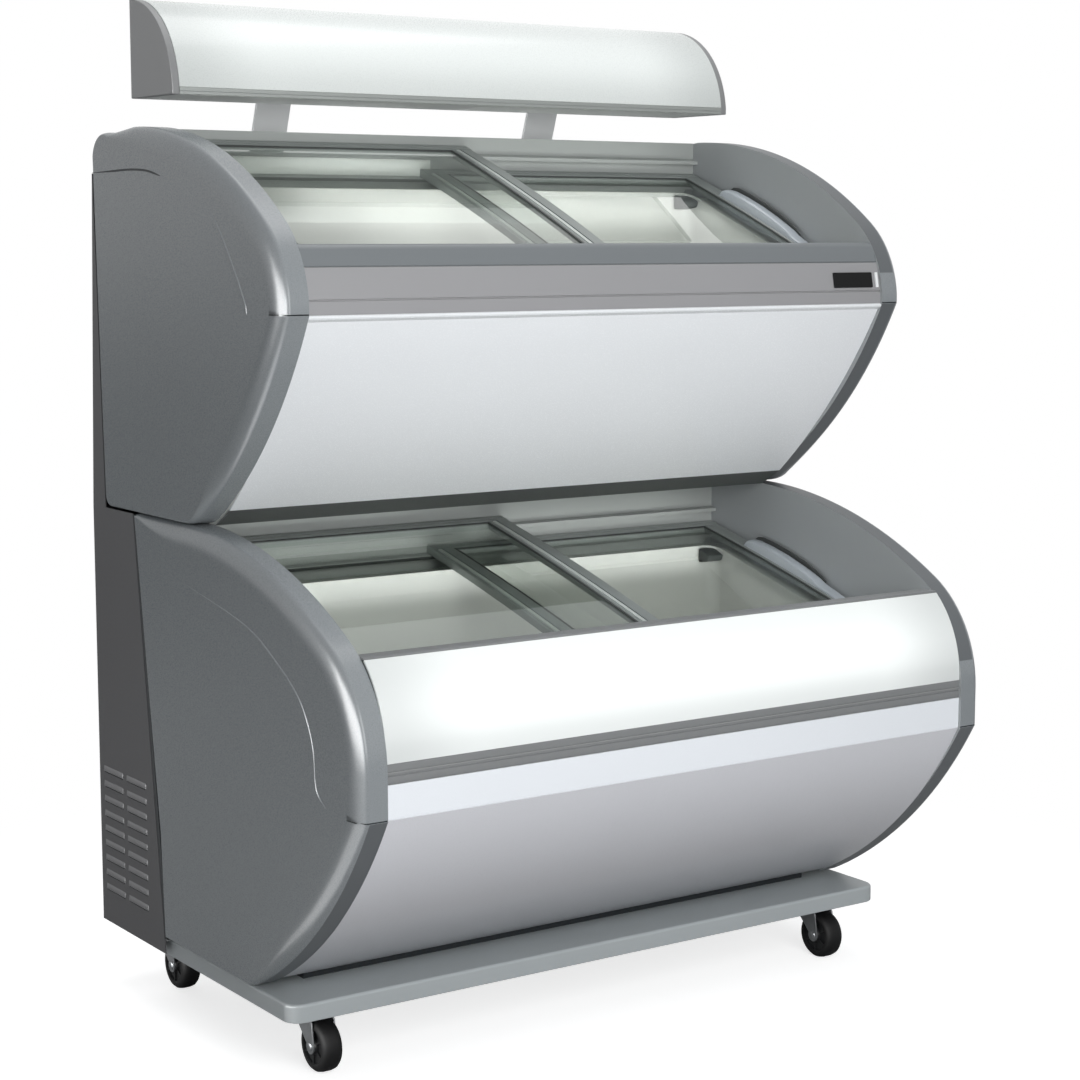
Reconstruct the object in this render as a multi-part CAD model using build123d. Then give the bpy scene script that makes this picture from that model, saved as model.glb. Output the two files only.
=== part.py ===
from build123d import *
import math
import os

# A double-deck ice cream display freezer: two insulated tubs with sliding
# curved glass lids, one above and behind the other, between moulded end
# panels, with a machine column behind them, a lit sign canopy on posts and a
# base platform on four swivel casters.
#
# Millimetres. X runs across, Y runs front to back, Z is up. The origin is on
# the floor, under the middle of the whole freezer. Profiles are written as
# (depth, height), where depth is counted back from the foremost line.

# Cabinet
INNER_WIDTH = 1080.0
END_PANEL = 46.0
RIM_PROUD = 5.0
SHOULDER_R = 12.0
SKIN = 2.0
FIT_GAP = 0.2
DECK_JOINT = 2.0

# Casters
WHEEL_D = 80.0
WHEEL_WIDTH = 33.0
WHEEL_BEVEL = 5.0
CASTER_TRAIL = 27.0
CASTER_INSET = 79.0
FRONT_STEM_INSET = 80.0
REAR_STEM_INSET = 72.0
STEM_R = 6.0
AXLE_R = 4.0
RUNNING_GAP = 0.05
FORK_LEG = 2.5
FORK_CROWN = 3.0
FORK_HEADROOM = 5.0
CASTER_CUP = 8.0
CASTER_PLATE = 3.0
CASTER_PLATE_X = 84.0
CASTER_PLATE_Y = 66.0
CASTER_CUP_R = 22.0
CUP_GAP = 0.2
PIN_HEAD = 3.2
PIN_HEAD_PROUD = 3.0
FORK_SIDE_GAP = 1.5
FORK_EYE_R = 11.0
AXLE_HEAD_R = 7.0
AXLE_HEAD = 2.0
HUB_PROUD = 1.3
WHEEL_HUB_R = 12.0
WHEEL_TYRE_R = 27.0
WHEEL_DISH = 4.0

# Platform and plinth
PLATFORM_OVERHANG = 33.0
PLATFORM_FRONT = 225.0
PLATFORM_BACK_GAP = 12.0
PLATFORM_HEIGHT = 28.0
PLATFORM_SHEET = 3.0
PLATFORM_CORNER_R = 26.0
PLINTH_HEIGHT = 13.0
PLINTH_SET_BACK = 12.0

# Lower deck front, in the order of its heights
LOW_PANEL_FOOT = 320.0
LOW_PANEL_BULGE = 34.0
LOW_PANEL_RISE = 306.0
LOW_RIM_FOOT = 15.0
BAND_HEIGHT = 50.0
BAND_SHEET = 3.0
TRIM_HEIGHT = 29.0
TRIM_DEEP = 20.0
SIGN_RISE = 136.0
SIGN_SET_BACK = 62.0
SIGN_BULGE = 16.0
SIGN_BACK = 74.0
SIGN_CAP = 3.0
DIFFUSER_SHEET = 3.0
SIGN_LAMP_END = 40.0
SIGN_LAMP_BACK = 24.0
SIGN_LAMP_RISE = 67.0

# Lower end panel outline, its heights counted from the kink
END_FOOT_DROP = 9.0
LOW_RIM_RISE = 66.0
LOW_BROW_DEPTH = 100.0
LOW_BROW_RISE = 236.0
LOW_BROW_BULGE = 26.0
LOW_CREST_DEPTH = 560.0
LOW_CREST_BULGE = 32.0
LOW_BACK_REACH = 58.0
LOW_BACK_SLANT = 84.0

# Upper deck front
UP_PANEL_FOOT = 460.0
UP_PANEL_FOOT_RISE = 26.0
UP_PANEL_BULGE = 17.0
UP_KINK_RISE = 325.0
UP_KINK_DEPTH = 204.0
FASCIA_HEIGHT = 100.0
FASCIA_SET_BACK = 25.0
FASCIA_BULGE = 6.0
FASCIA_TOP_BAND = 32.0
FASCIA_GROOVE = 21.0
GROOVE = 2.0

# Upper end panel outline, its heights counted from the kink
UP_END_SET_BACK = 24.0
UP_END_BULGE = 28.0
UP_TOE = 45.0
UP_TOE_RISE = 16.0
UP_TOE_BULGE = 4.0
UP_RIM_RISE = 17.0
UP_BROW_DEPTH = 270.0
UP_BROW_RISE = 134.0
UP_BROW_BULGE = 14.0
UP_CREST_DEPTH = 700.0
UP_CREST_RISE = 279.0
UP_CREST_BULGE = 37.0
UP_HEEL = 18.0
UP_HEEL_BULGE = 5.0
CAP_TOP_REACH = 58.0
CAP_TOP_RISE = 271.0
CAP_BACK_RISE = 238.0
CAP_BULGE = 15.0
CAP_FOOT_RISE = 210.0
CAP_FLUSH_GAP = 2.0

# Crown between the upper end panels
CROWN_SET_BACK = 10.0
CROWN_FLAT = 38.0
CROWN_FALL = 14.0
CROWN_CORNER = 18.0

# Lids: top face of the lower of the two lids of each deck, heights from the kink
LOW_LID_START = 100.0
LOW_LID_REACH = 550.0
LOW_LID_RISE = 126.0
LOW_LID_CLIMB = 150.0
UP_LID_START = 265.0
UP_LID_REACH = 448.0
UP_LID_RISE = 43.0
UP_LID_CLIMB = 181.0
LID_CROWN = 6.0
LID_HEIGHT = 14.0
LID_STEP = 40.0
LID_HEADROOM = 41.0
UP_LID_WIDTH = 582.0
LOW_LID_WIDTH = 612.0
LID_END = 32.0
LID_BAR = 40.0
LID_EDGE = 24.0
LID_SIDE_GAP = 3.0
GLASS = 4.0
GLASS_SINK = 3.0
GLASS_LAND = 8.0
GRIP_HEIGHT = 19.0
GRIP_TAIL_HEIGHT = 7.0
GRIP_RAMP = 55.0
GRIP_FULL = 140.0
GRIP_TAIL = 56.0
GRIP_WIDTH = 22.0
GRIP_EDGE = 5.0
UP_GRIP_INSET = 113.0
LOW_GRIP_INSET = 130.0

# Lid rails
RAIL_WALL = 8.0
RAIL_LEDGE = 12.0
RAIL_LEDGE_HEIGHT = 6.0
RAIL_GAP = 1.0
TRACK_GAP = 0.3
RIM_DROP = 24.0
UP_REAR_RAIL_RISE = 14.0

# Tubs
TANK_WALL = 55.0
LINER = 2.0
LOW_TANK_FRONT_WALL = 18.0
LOW_TANK_TOE = 290.0
LOW_TANK_FLOOR_WALL = 65.0
LOW_TANK_BACK_WALL = 75.0
UP_TANK_FRONT_WALL = 21.0
UP_TANK_TOE = 505.0
UP_TANK_FLOOR_WALL = 77.0
UP_TANK_BACK_WALL = 58.0
TUB_BACK_INSET = 6.0
UP_TUB_WALL = 33.0
UP_TUB_TOE_INSET = 24.0
UP_PANEL_LAP = 4.0

# Machine column
UP_BACK_REACH = 66.0
COLUMN_REVEAL = 50.0
COLUMN_SIDE_INSET = 2.0
COLUMN_SHEET = 2.0
COLUMN_OVERLAP = 21.0
COLUMN_LEAN = 26.0
SIDE_SHEET_GAP = 2.0
LOUVRE_ROWS = 9
LOUVRE_PITCH = 25.0
LOUVRE_SLOT = 9.0
LOUVRE_END = 1.0
SIDE_LOUVRE_LENGTH = 70.0
SIDE_LOUVRE_GAP = 18.0
SIDE_LOUVRE_RISE = 54.0
SIDE_LOUVRE_INSET = 20.0
REAR_LOUVRE_LENGTH = 330.0
REAR_SIDE_LOUVRE_LENGTH = 220.0
REAR_LOUVRE_SPACING = 291.0
REAR_LOUVRE_RISE = 59.0
TRAY_SHEET = 2.0

# Machinery
MACHINE_GAP = 20.0
COMPRESSOR_R = 76.0
COMPRESSOR_HEIGHT = 180.0
COMPRESSOR_INSET = 404.0
COMPRESSOR_FEET = 12.0
COMPRESSOR_FOOT_PLATE = 4.0
COMPRESSOR_DOME = 40.0
CONDENSER_THICK = 46.0
CONDENSER_TUBE_INSET = 6.0
CONDENSER_HEIGHT = 250.0
CONDENSER_FIN = 2.0
CONDENSER_FINS = 14
CONDENSER_SPACE = 24.0
FAN_R = 92.0
FAN_HUB_R = 18.0
FAN_HUB_LENGTH = 16.0
FAN_SHAFT_R = 3.0
FAN_BLADES = 5
FAN_PITCH = 28.0
FAN_CHORD = 30.0
FAN_SHEET = 2.5
FAN_ROOT = 5.0
FAN_MOTOR_GAP = 3.0
MOTOR_STAND = 8.0
FAN_INSET = 104.0
MOTOR_R = 34.0
MOTOR_LENGTH = 44.0

# Controls in the back
CONTROL_INSET = 184.0
CONTROL_RISE = 294.0
CONTROL_WIDTH = 190.0
CONTROL_TALL = 80.0
CONTROL_DEEP = 34.0
CONTROL_WALL = 2.0
CONTROL_POCKET = 18.0
KNOB_X = 55.0
KNOB_R = 18.0
KNOB_LENGTH = 14.0
KNOB_GAP = 1.0
KNOB_SHAFT_R = 3.0
SHAFT_DEEP = 12.0
BUTTON_X = 0.0
BUTTON_R = 7.0
BUTTON_PROUD = 6.0
BUTTON_TRAVEL = 3.0
GLAND_X = -55.0
GLAND_R = 12.0
GLAND_NUT = 7.0
GLAND_NOSE_R = 8.0
GLAND_NOSE = 7.0

# Canopy, set back from the lid's rear edge and raised from the crown
CANOPY_WIDTH = 1084.0
CANOPY_BACK_REACH = 59.0
CANOPY_DEPTH = 150.0
CANOPY_RISE = 48.0
CANOPY_HEIGHT = 154.0
CANOPY_LIP = 12.0
CANOPY_BULGE = 38.0
CANOPY_SHEET = 2.0
CANOPY_CAP = 12.0
POST_SPACING = 540.0
POST_WIDTH = 64.0
POST_SHEET = 5.0
POST_FOOT_RISE = 7.0
POST_LEG = 55.0
POST_HEAD_DROP = 12.0
POST_HEAD_LEG = 44.0
LAMP_R = 8.0
LAMP_CAP = 14.0
CANOPY_LAMP_END = 42.0
CANOPY_LAMP_INSET = 57.0
CANOPY_LAMP_RISE = 56.0

# Blank plate and lens on the fascia
PLATE_WIDTH = 84.0
PLATE_TALL = 25.0
PLATE_CORNER_R = 2.0
PLATE_THICK = 2.0
PLATE_RIGHT = 17.0
PLATE_RISE = 39.0
PILOT_GAP = 10.0
PILOT_WIDTH = 5.0
PILOT_CORNER_R = 1.5

# Widths
HALF = INNER_WIDTH / 2
OUTER_HALF = HALF + END_PANEL
TANK_HALF = HALF - TANK_WALL
COLUMN_HALF = OUTER_HALF - COLUMN_SIDE_INSET
PLATFORM_WIDTH = INNER_WIDTH + 2 * PLATFORM_OVERHANG
CASTER_HALF = PLATFORM_WIDTH / 2 - CASTER_INSET
FAN_X = FAN_INSET - COLUMN_HALF
COMPRESSOR_X = COLUMN_HALF - COMPRESSOR_INSET
CONTROL_X = COLUMN_HALF - CONTROL_INSET
SIGN_LAMP_LENGTH = INNER_WIDTH - 2 * SIGN_LAMP_END
CANOPY_LAMP_LENGTH = CANOPY_WIDTH - 2 * CANOPY_LAMP_END

# Heights of the foot and the lower deck
CROWN_FOOT = WHEEL_D + FORK_HEADROOM
CASTER_HEIGHT = CROWN_FOOT + FORK_CROWN + CASTER_CUP + CASTER_PLATE
PLATFORM_TOP = CASTER_HEIGHT + PLATFORM_HEIGHT
TRAY_TOP = PLATFORM_TOP + TRAY_SHEET
BODY_FOOT = PLATFORM_TOP + PLINTH_HEIGHT
END_FOOT = BODY_FOOT - END_FOOT_DROP
COLUMN_FOOT = PLATFORM_TOP - COLUMN_OVERLAP
LOW_KINK = BODY_FOOT + LOW_PANEL_RISE
BAND_TOP = LOW_KINK + BAND_HEIGHT
TRIM_TOP = BAND_TOP + TRIM_HEIGHT
SIGN_TOP = TRIM_TOP + SIGN_RISE
LOW_LID_FRONT = (LOW_LID_START, LOW_KINK + LOW_LID_RISE)
LOW_LID_REAR = (LOW_LID_START + LOW_LID_REACH, LOW_LID_FRONT[1] + LOW_LID_CLIMB)
LOW_TANK_FLOOR = BODY_FOOT + LOW_TANK_FLOOR_WALL
CONTROL_HEIGHT = COLUMN_FOOT + CONTROL_RISE
WINDOW_FOOT = CONTROL_HEIGHT - CONTROL_TALL / 2 + CONTROL_WALL
WINDOW_TOP = CONTROL_HEIGHT + CONTROL_TALL / 2 - CONTROL_WALL

# Heights of the upper deck, the crown and the canopy
DECK_SPLIT = LOW_LID_REAR[1] + LID_STEP + LID_HEADROOM
UP_PANEL_FOOT_HEIGHT = DECK_SPLIT + UP_PANEL_FOOT_RISE
UP_KINK = DECK_SPLIT + UP_KINK_RISE
FASCIA_TOP = UP_KINK + FASCIA_HEIGHT
UP_LID_FRONT = (UP_LID_START, UP_KINK + UP_LID_RISE)
UP_LID_REAR = (UP_LID_START + UP_LID_REACH, UP_LID_FRONT[1] + UP_LID_CLIMB)
UP_TANK_FLOOR = DECK_SPLIT + UP_TANK_FLOOR_WALL
CAP_FOOT = UP_KINK + CAP_FOOT_RISE
CAP_BACK_TOP = UP_KINK + CAP_BACK_RISE
CROWN_TOP = UP_LID_REAR[1] + LID_STEP + UP_REAR_RAIL_RISE
CANOPY_FOOT = CROWN_TOP + CANOPY_RISE
CANOPY_TOP = CANOPY_FOOT + CANOPY_HEIGHT
POST_FOOT = CAP_FOOT + POST_FOOT_RISE
POST_BEND = POST_FOOT + POST_LEG
POST_HEAD = CANOPY_TOP - POST_HEAD_DROP
POST_UPPER_BEND = POST_HEAD - POST_HEAD_LEG

# Depths
LOW_TANK_FRONT = LOW_LID_START + LOW_TANK_FRONT_WALL
LOW_TANK_BACK = LOW_LID_REAR[0] - LOW_TANK_BACK_WALL
LOW_BACK_TOP = LOW_LID_REAR[0] + LOW_BACK_REACH
LOW_BACK_FOOT = LOW_BACK_TOP - LOW_BACK_SLANT
UP_TANK_FRONT = UP_LID_START + UP_TANK_FRONT_WALL
UP_TANK_BACK = UP_LID_REAR[0] - UP_TANK_BACK_WALL
UP_TUB_BACK = UP_LID_REAR[0] + UP_TUB_WALL
UP_END_FOOT = UP_PANEL_FOOT + UP_END_SET_BACK
UP_BACK_FOOT = UP_TUB_BACK + UP_BACK_REACH
DEPTH = UP_BACK_FOOT + COLUMN_REVEAL
COLUMN_HEAD = DEPTH - COLUMN_LEAN
CAP_BACK = COLUMN_HEAD - CAP_FLUSH_GAP
CROWN_BACK = COLUMN_HEAD - CROWN_SET_BACK
CANOPY_BACK = UP_LID_REAR[0] + CANOPY_BACK_REACH
CANOPY_FRONT = CANOPY_BACK - CANOPY_DEPTH
PLATFORM_BACK = DEPTH - PLATFORM_BACK_GAP
FRONT_STEM = PLATFORM_FRONT + FRONT_STEM_INSET
REAR_STEM = PLATFORM_BACK - REAR_STEM_INSET


def y_of(depth):
    return depth - DEPTH / 2


class Bow:
    """A circular arc in the depth-height plane, bulging to the left of its run."""

    def __init__(self, start, end, bulge):
        self.start = Vector(*start)
        self.end = Vector(*end)
        self.bulge = bulge
        chord = self.end - self.start
        half = chord.length / 2
        self.radius = (half ** 2 + bulge ** 2) / (2 * bulge)
        outward = Vector(-chord.Y, chord.X).normalized()
        self.middle = (self.start + self.end) * 0.5 + outward * bulge
        self.centre = self.middle - outward * self.radius

    def height(self, depth):
        reach = depth - self.centre.X
        return self.centre.Y + math.sqrt(self.radius ** 2 - reach ** 2)

    def depth(self, height):
        reach = height - self.centre.Y
        return self.centre.X - math.sqrt(self.radius ** 2 - reach ** 2)

    def inset(self, amount):
        share = (self.radius - amount) / self.radius
        start = self.centre + (self.start - self.centre) * share
        end = self.centre + (self.end - self.centre) * share
        return Bow((start.X, start.Y), (end.X, end.Y), self.bulge * share)

    def between(self, low, high, rise=0.0):
        """Points on the arc at two depths and half way, lifted by rise."""
        depths = (low, (low + high) / 2, high)
        return [(depth, self.height(depth) + rise) for depth in depths]

    def points(self):
        return [(p.X, p.Y) for p in (self.start, self.middle, self.end)]


def place(point):
    return (y_of(point[0]), point[1])


def outline(*runs):
    """A closed YZ face: two points make a line, three an arc, joined in order."""
    edges = []
    last = None
    for run in runs:
        if last is not None and math.dist(last, run[0]) > 1e-6:
            edges.append(Line(place(last), place(run[0])))
        if len(run) == 3:
            edges.append(ThreePointArc(*[place(p) for p in run]))
        else:
            for one, two in zip(run, run[1:]):
                edges.append(Line(place(one), place(two)))
        last = run[-1]
    if math.dist(last, runs[0][0]) > 1e-6:
        edges.append(Line(place(last), place(runs[0][0])))
    return make_face(edges)


def corners(*points):
    return make_face(Polyline(*[place(p) for p in points], close=True))


def across(face, low, high):
    """Extrudes a YZ face from one X to another."""
    return extrude(Plane.YZ.offset(low) * face, high - low)


def block(x, depth, z):
    """A box between the given pairs of limits."""
    size = (x[1] - x[0], depth[1] - depth[0], z[1] - z[0])
    middle = ((x[0] + x[1]) / 2, y_of((depth[0] + depth[1]) / 2), (z[0] + z[1]) / 2)
    return Pos(*middle) * Box(*size)


def rod(radius, low, high, depth, z):
    """A round bar along X."""
    middle = Pos((low + high) / 2, y_of(depth), z)
    return middle * Rot(0, 90, 0) * Cylinder(radius, high - low)


def post(radius, x, y, low, high):
    """A round bar along Z."""
    return Pos(x, y, (low + high) / 2) * Cylinder(radius, high - low)


def strip(bow, top, bottom, low, high):
    """The YZ face between an arc lifted by top and by bottom, from one depth to another."""
    upper = bow.between(low, high, top)
    lower = bow.between(low, high, bottom)
    return outline(upper, lower[::-1])


def sheet(bow, thickness, half):
    """A curved sheet from -half to half across, its outer face on the arc, cut level at its ends."""
    skin = across(outline(bow.points(), bow.inset(thickness).points()[::-1]), -half, half)
    depths = sorted((bow.start.X, bow.end.X))
    heights = sorted((bow.start.Y, bow.end.Y))
    return skin & block((-half, half), (depths[0] - bow.bulge, depths[1]), heights)


def save(name, *solids):
    shape = solids[0] if len(solids) == 1 else Compound(children=list(solids))
    shape.label = name
    export_step(shape, f"parts/{name}.step")


low_lid_bow = Bow(LOW_LID_FRONT, LOW_LID_REAR, LID_CROWN)
up_lid_bow = Bow(UP_LID_FRONT, UP_LID_REAR, LID_CROWN)
low_panel_bow = Bow((LOW_PANEL_FOOT, BODY_FOOT), (RIM_PROUD, LOW_KINK), LOW_PANEL_BULGE)
sign_foot = (RIM_PROUD, TRIM_TOP)
sign_head = (SIGN_SET_BACK, SIGN_TOP)
sign_bow = Bow(sign_foot, sign_head, SIGN_BULGE)
up_front = UP_KINK_DEPTH + RIM_PROUD
up_panel_bow = Bow((UP_PANEL_FOOT, UP_PANEL_FOOT_HEIGHT), (up_front, UP_KINK), UP_PANEL_BULGE)
fascia_bow = Bow((up_front, UP_KINK), (up_front + FASCIA_SET_BACK, FASCIA_TOP), FASCIA_BULGE)
canopy_bow = Bow((CANOPY_FRONT, CANOPY_FOOT + CANOPY_LIP), (CANOPY_BACK, CANOPY_TOP), CANOPY_BULGE)


def base_platform():
    """A folded steel tray, open below: top sheet, four walls, four corners and four caster pads."""
    half = PLATFORM_WIDTH / 2
    length = PLATFORM_BACK - PLATFORM_FRONT
    centre = y_of((PLATFORM_FRONT + PLATFORM_BACK) / 2)
    sheet_foot = PLATFORM_TOP - PLATFORM_SHEET
    wall_height = PLATFORM_HEIGHT - PLATFORM_SHEET
    plan = RectangleRounded(2 * half, length, PLATFORM_CORNER_R)
    top = extrude(Pos(0, centre, sheet_foot) * plan, PLATFORM_SHEET)
    solids = [top]
    for low, high in ((PLATFORM_FRONT, PLATFORM_SHEET), (PLATFORM_BACK, -PLATFORM_SHEET)):
        depth = sorted((low, low + high))
        run = half - PLATFORM_CORNER_R
        solids.append(block((-run, run), depth, (CASTER_HEIGHT, sheet_foot)))
    for sign in (-1, 1):
        x = sorted((sign * half, sign * (half - PLATFORM_SHEET)))
        depth = (PLATFORM_FRONT + PLATFORM_CORNER_R, PLATFORM_BACK - PLATFORM_CORNER_R)
        solids.append(block(x, depth, (CASTER_HEIGHT, sheet_foot)))
    elbow = CenterArc((0, 0), PLATFORM_CORNER_R, 0, 90)
    inner = CenterArc((0, 0), PLATFORM_CORNER_R - PLATFORM_SHEET, 0, 90)
    quarter = make_face([elbow, inner, Line(elbow @ 0, inner @ 0), Line(elbow @ 1, inner @ 1)])
    reach_x = half - PLATFORM_CORNER_R
    reach_y = length / 2 - PLATFORM_CORNER_R
    for index, (x, y) in enumerate(((1, 1), (-1, 1), (-1, -1), (1, -1))):
        spot = Pos(x * reach_x, centre + y * reach_y, CASTER_HEIGHT)
        solids.append(spot * Rot(0, 0, 90 * index) * extrude(quarter, wall_height))
    for x, y in [(x, y) for name, x, y in caster_spots()]:
        pad = Box(CASTER_PLATE_X, CASTER_PLATE_Y, wall_height)
        solids.append(Pos(x, y, CASTER_HEIGHT + wall_height / 2) * pad)
    return solids


def plinth():
    """The recessed dark foot between the platform and the lower tub."""
    return block(
        (-HALF + END_PANEL, HALF - END_PANEL),
        (LOW_PANEL_FOOT + PLINTH_SET_BACK, LOW_BACK_FOOT - PLINTH_SET_BACK),
        (PLATFORM_TOP, BODY_FOOT),
    )


def caster_spots():
    for row, stem in (("front", FRONT_STEM), ("rear", REAR_STEM)):
        for side, sign in (("left", -1), ("right", 1)):
            yield f"{row}_{side}", sign * CASTER_HALF, y_of(stem)


def caster_plate(x, y):
    """Screw plate, swivel cup and king pin of one caster."""
    plate_foot = CASTER_HEIGHT - CASTER_PLATE
    crown_top = CROWN_FOOT + FORK_CROWN
    plate = Pos(x, y, plate_foot + CASTER_PLATE / 2) * Box(CASTER_PLATE_X, CASTER_PLATE_Y, CASTER_PLATE)
    cup = post(CASTER_CUP_R, x, y, crown_top + CUP_GAP, plate_foot)
    pin = post(STEM_R, x, y, CROWN_FOOT - CUP_GAP, crown_top + CUP_GAP)
    head = post(STEM_R + PIN_HEAD_PROUD, x, y, CROWN_FOOT - PIN_HEAD, CROWN_FOOT - CUP_GAP)
    return plate + cup + pin + head


def caster_fork(x, y):
    """Bent steel fork, drilled for the king pin and for the axle."""
    axle_y = y - CASTER_TRAIL
    inner = WHEEL_WIDTH / 2 + FORK_SIDE_GAP
    outer = inner + FORK_LEG
    crown_back = y + CASTER_CUP_R
    crown_front = axle_y + FORK_EYE_R
    crown = Pos(x, (crown_back + crown_front) / 2, CROWN_FOOT + FORK_CROWN / 2) * Box(
        2 * outer, crown_back - crown_front, FORK_CROWN
    )
    crown -= post(STEM_R + RUNNING_GAP, x, y, CROWN_FOOT - 1, CROWN_FOOT + FORK_CROWN + 1)
    leg = make_face(
        Polyline(
            (crown_front, CROWN_FOOT),
            (crown_back, CROWN_FOOT),
            (axle_y + FORK_EYE_R, WHEEL_D / 2),
            (axle_y - FORK_EYE_R, WHEEL_D / 2),
            close=True,
        )
    )
    leg += Pos(axle_y, WHEEL_D / 2) * Circle(FORK_EYE_R)
    leg -= Pos(axle_y, WHEEL_D / 2) * Circle(AXLE_R + RUNNING_GAP)
    legs = extrude(Plane.YZ.offset(x + inner) * leg, FORK_LEG)
    legs += extrude(Plane.YZ.offset(x - outer) * leg, FORK_LEG)
    return crown + legs


def caster_axle(x, y):
    """Headed pin through the fork and the wheel."""
    outer = WHEEL_WIDTH / 2 + FORK_SIDE_GAP + FORK_LEG
    depth = y - CASTER_TRAIL + DEPTH / 2
    height = WHEEL_D / 2
    pin = rod(AXLE_R, x - outer, x + outer, depth, height)
    pin += rod(AXLE_HEAD_R, x + outer, x + outer + AXLE_HEAD, depth, height)
    pin += rod(AXLE_HEAD_R, x - outer - AXLE_HEAD, x - outer, depth, height)
    return pin


def caster_wheel(x, y):
    """Solid wheel with a raised hub and a dished face on each side."""
    radius = WHEEL_D / 2
    half = WHEEL_WIDTH / 2
    profile = Polyline(
        (AXLE_R + RUNNING_GAP, -half - HUB_PROUD),
        (WHEEL_HUB_R, -half - HUB_PROUD),
        (WHEEL_HUB_R, -half + WHEEL_DISH),
        (WHEEL_TYRE_R, -half + WHEEL_DISH),
        (WHEEL_TYRE_R, -half),
        (radius - WHEEL_BEVEL, -half),
        (radius, -half + WHEEL_BEVEL),
        (radius, half - WHEEL_BEVEL),
        (radius - WHEEL_BEVEL, half),
        (WHEEL_TYRE_R, half),
        (WHEEL_TYRE_R, half - WHEEL_DISH),
        (WHEEL_HUB_R, half - WHEEL_DISH),
        (WHEEL_HUB_R, half + HUB_PROUD),
        (AXLE_R + RUNNING_GAP, half + HUB_PROUD),
        close=True,
    )
    wheel = revolve(Plane.XZ * make_face(profile), Axis.Z)
    return Pos(x, y - CASTER_TRAIL, radius) * Rot(0, 90, 0) * wheel


def low_end_face():
    rim = Bow((LOW_PANEL_FOOT + LOW_RIM_FOOT, END_FOOT), (0, LOW_KINK), LOW_PANEL_BULGE)
    brow_top = (LOW_BROW_DEPTH, LOW_KINK + LOW_BROW_RISE)
    brow = Bow((0, LOW_KINK + LOW_RIM_RISE), brow_top, LOW_BROW_BULGE)
    crest = Bow(brow_top, (LOW_CREST_DEPTH, DECK_SPLIT), LOW_CREST_BULGE)
    return outline(
        rim.points(),
        brow.points(),
        crest.points(),
        [(LOW_CREST_DEPTH, DECK_SPLIT), (LOW_BACK_TOP, DECK_SPLIT)],
        [(LOW_BACK_TOP, DECK_SPLIT), (LOW_BACK_FOOT, END_FOOT)],
    )


def up_back(height):
    """Depth of the slanted back edge of the upper end panels at a height."""
    lean = (CAP_BACK - UP_BACK_FOOT) / (CAP_BACK_TOP - DECK_SPLIT)
    return UP_BACK_FOOT + (height - DECK_SPLIT) * lean


def up_end_face():
    foot = DECK_SPLIT + DECK_JOINT
    toe = UP_END_FOOT + UP_TOE
    rim = Bow((UP_END_FOOT, foot + UP_TOE_RISE), (UP_KINK_DEPTH, UP_KINK), UP_END_BULGE)
    brow_top = (UP_BROW_DEPTH, UP_KINK + UP_BROW_RISE)
    brow = Bow((UP_KINK_DEPTH, UP_KINK + UP_RIM_RISE), brow_top, UP_BROW_BULGE)
    crest = Bow(brow_top, (UP_CREST_DEPTH, UP_KINK + UP_CREST_RISE), UP_CREST_BULGE)
    cap_top = (CAP_BACK - CAP_TOP_REACH, UP_KINK + CAP_TOP_RISE)
    shoulder = Bow(cap_top, (CAP_BACK, CAP_BACK_TOP), CAP_BULGE)
    heel_top = foot + UP_HEEL
    heel = Bow((up_back(heel_top), heel_top), (UP_BACK_FOOT - UP_HEEL, foot), UP_HEEL_BULGE)
    return outline(
        Bow((toe, foot), (UP_END_FOOT, foot + UP_TOE_RISE), UP_TOE_BULGE).points(),
        rim.points(),
        brow.points(),
        crest.points(),
        shoulder.points(),
        heel.points(),
    )


def end_panel(face, sign, flat_edges):
    """A moulded end panel whose outer edge is rounded but for its last flat edges."""
    panel = across(face, HALF, OUTER_HALF)
    rounded = [edge for edge in panel.faces().sort_by(Axis.X)[-1].edges() if not flat_edges(edge.center())]
    panel = fillet(rounded, SHOULDER_R)
    return panel if sign > 0 else mirror(panel, about=Plane.YZ)


def low_is_flat(point):
    return point.Z < END_FOOT + 1 or point.Y > y_of(LOW_BACK_FOOT)


def up_is_flat(point):
    at_foot = point.Z < DECK_SPLIT + DECK_JOINT + 1
    at_back = point.Z < CAP_BACK_TOP and point.Y > y_of(up_back(point.Z) - UP_HEEL)
    return at_foot or at_back


def low_slant(height):
    """Depth of the slanted back of the lower tub at a height."""
    lean = (LOW_BACK_TOP - LOW_BACK_FOOT) / (DECK_SPLIT - END_FOOT)
    return LOW_BACK_FOOT - TUB_BACK_INSET + (height - END_FOOT) * lean


def panel_part(bow, low, high):
    """Points on a front panel's inner face between two heights."""
    inner = bow.inset(SKIN)
    middle = (low + high) / 2
    return [(inner.depth(z), z) for z in (low, middle, high)]


def low_tank_face():
    top_front = low_lid_bow.height(LOW_TANK_FRONT)
    top_back = low_lid_bow.height(LOW_TANK_BACK)
    return corners(
        (LOW_TANK_TOE, LOW_TANK_FLOOR),
        (LOW_TANK_FRONT, LOW_KINK),
        (LOW_TANK_FRONT, top_front - RIM_DROP),
        (LOW_TANK_BACK, top_back - RIM_DROP),
        (LOW_TANK_BACK, LOW_TANK_FLOOR),
    )


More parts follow.
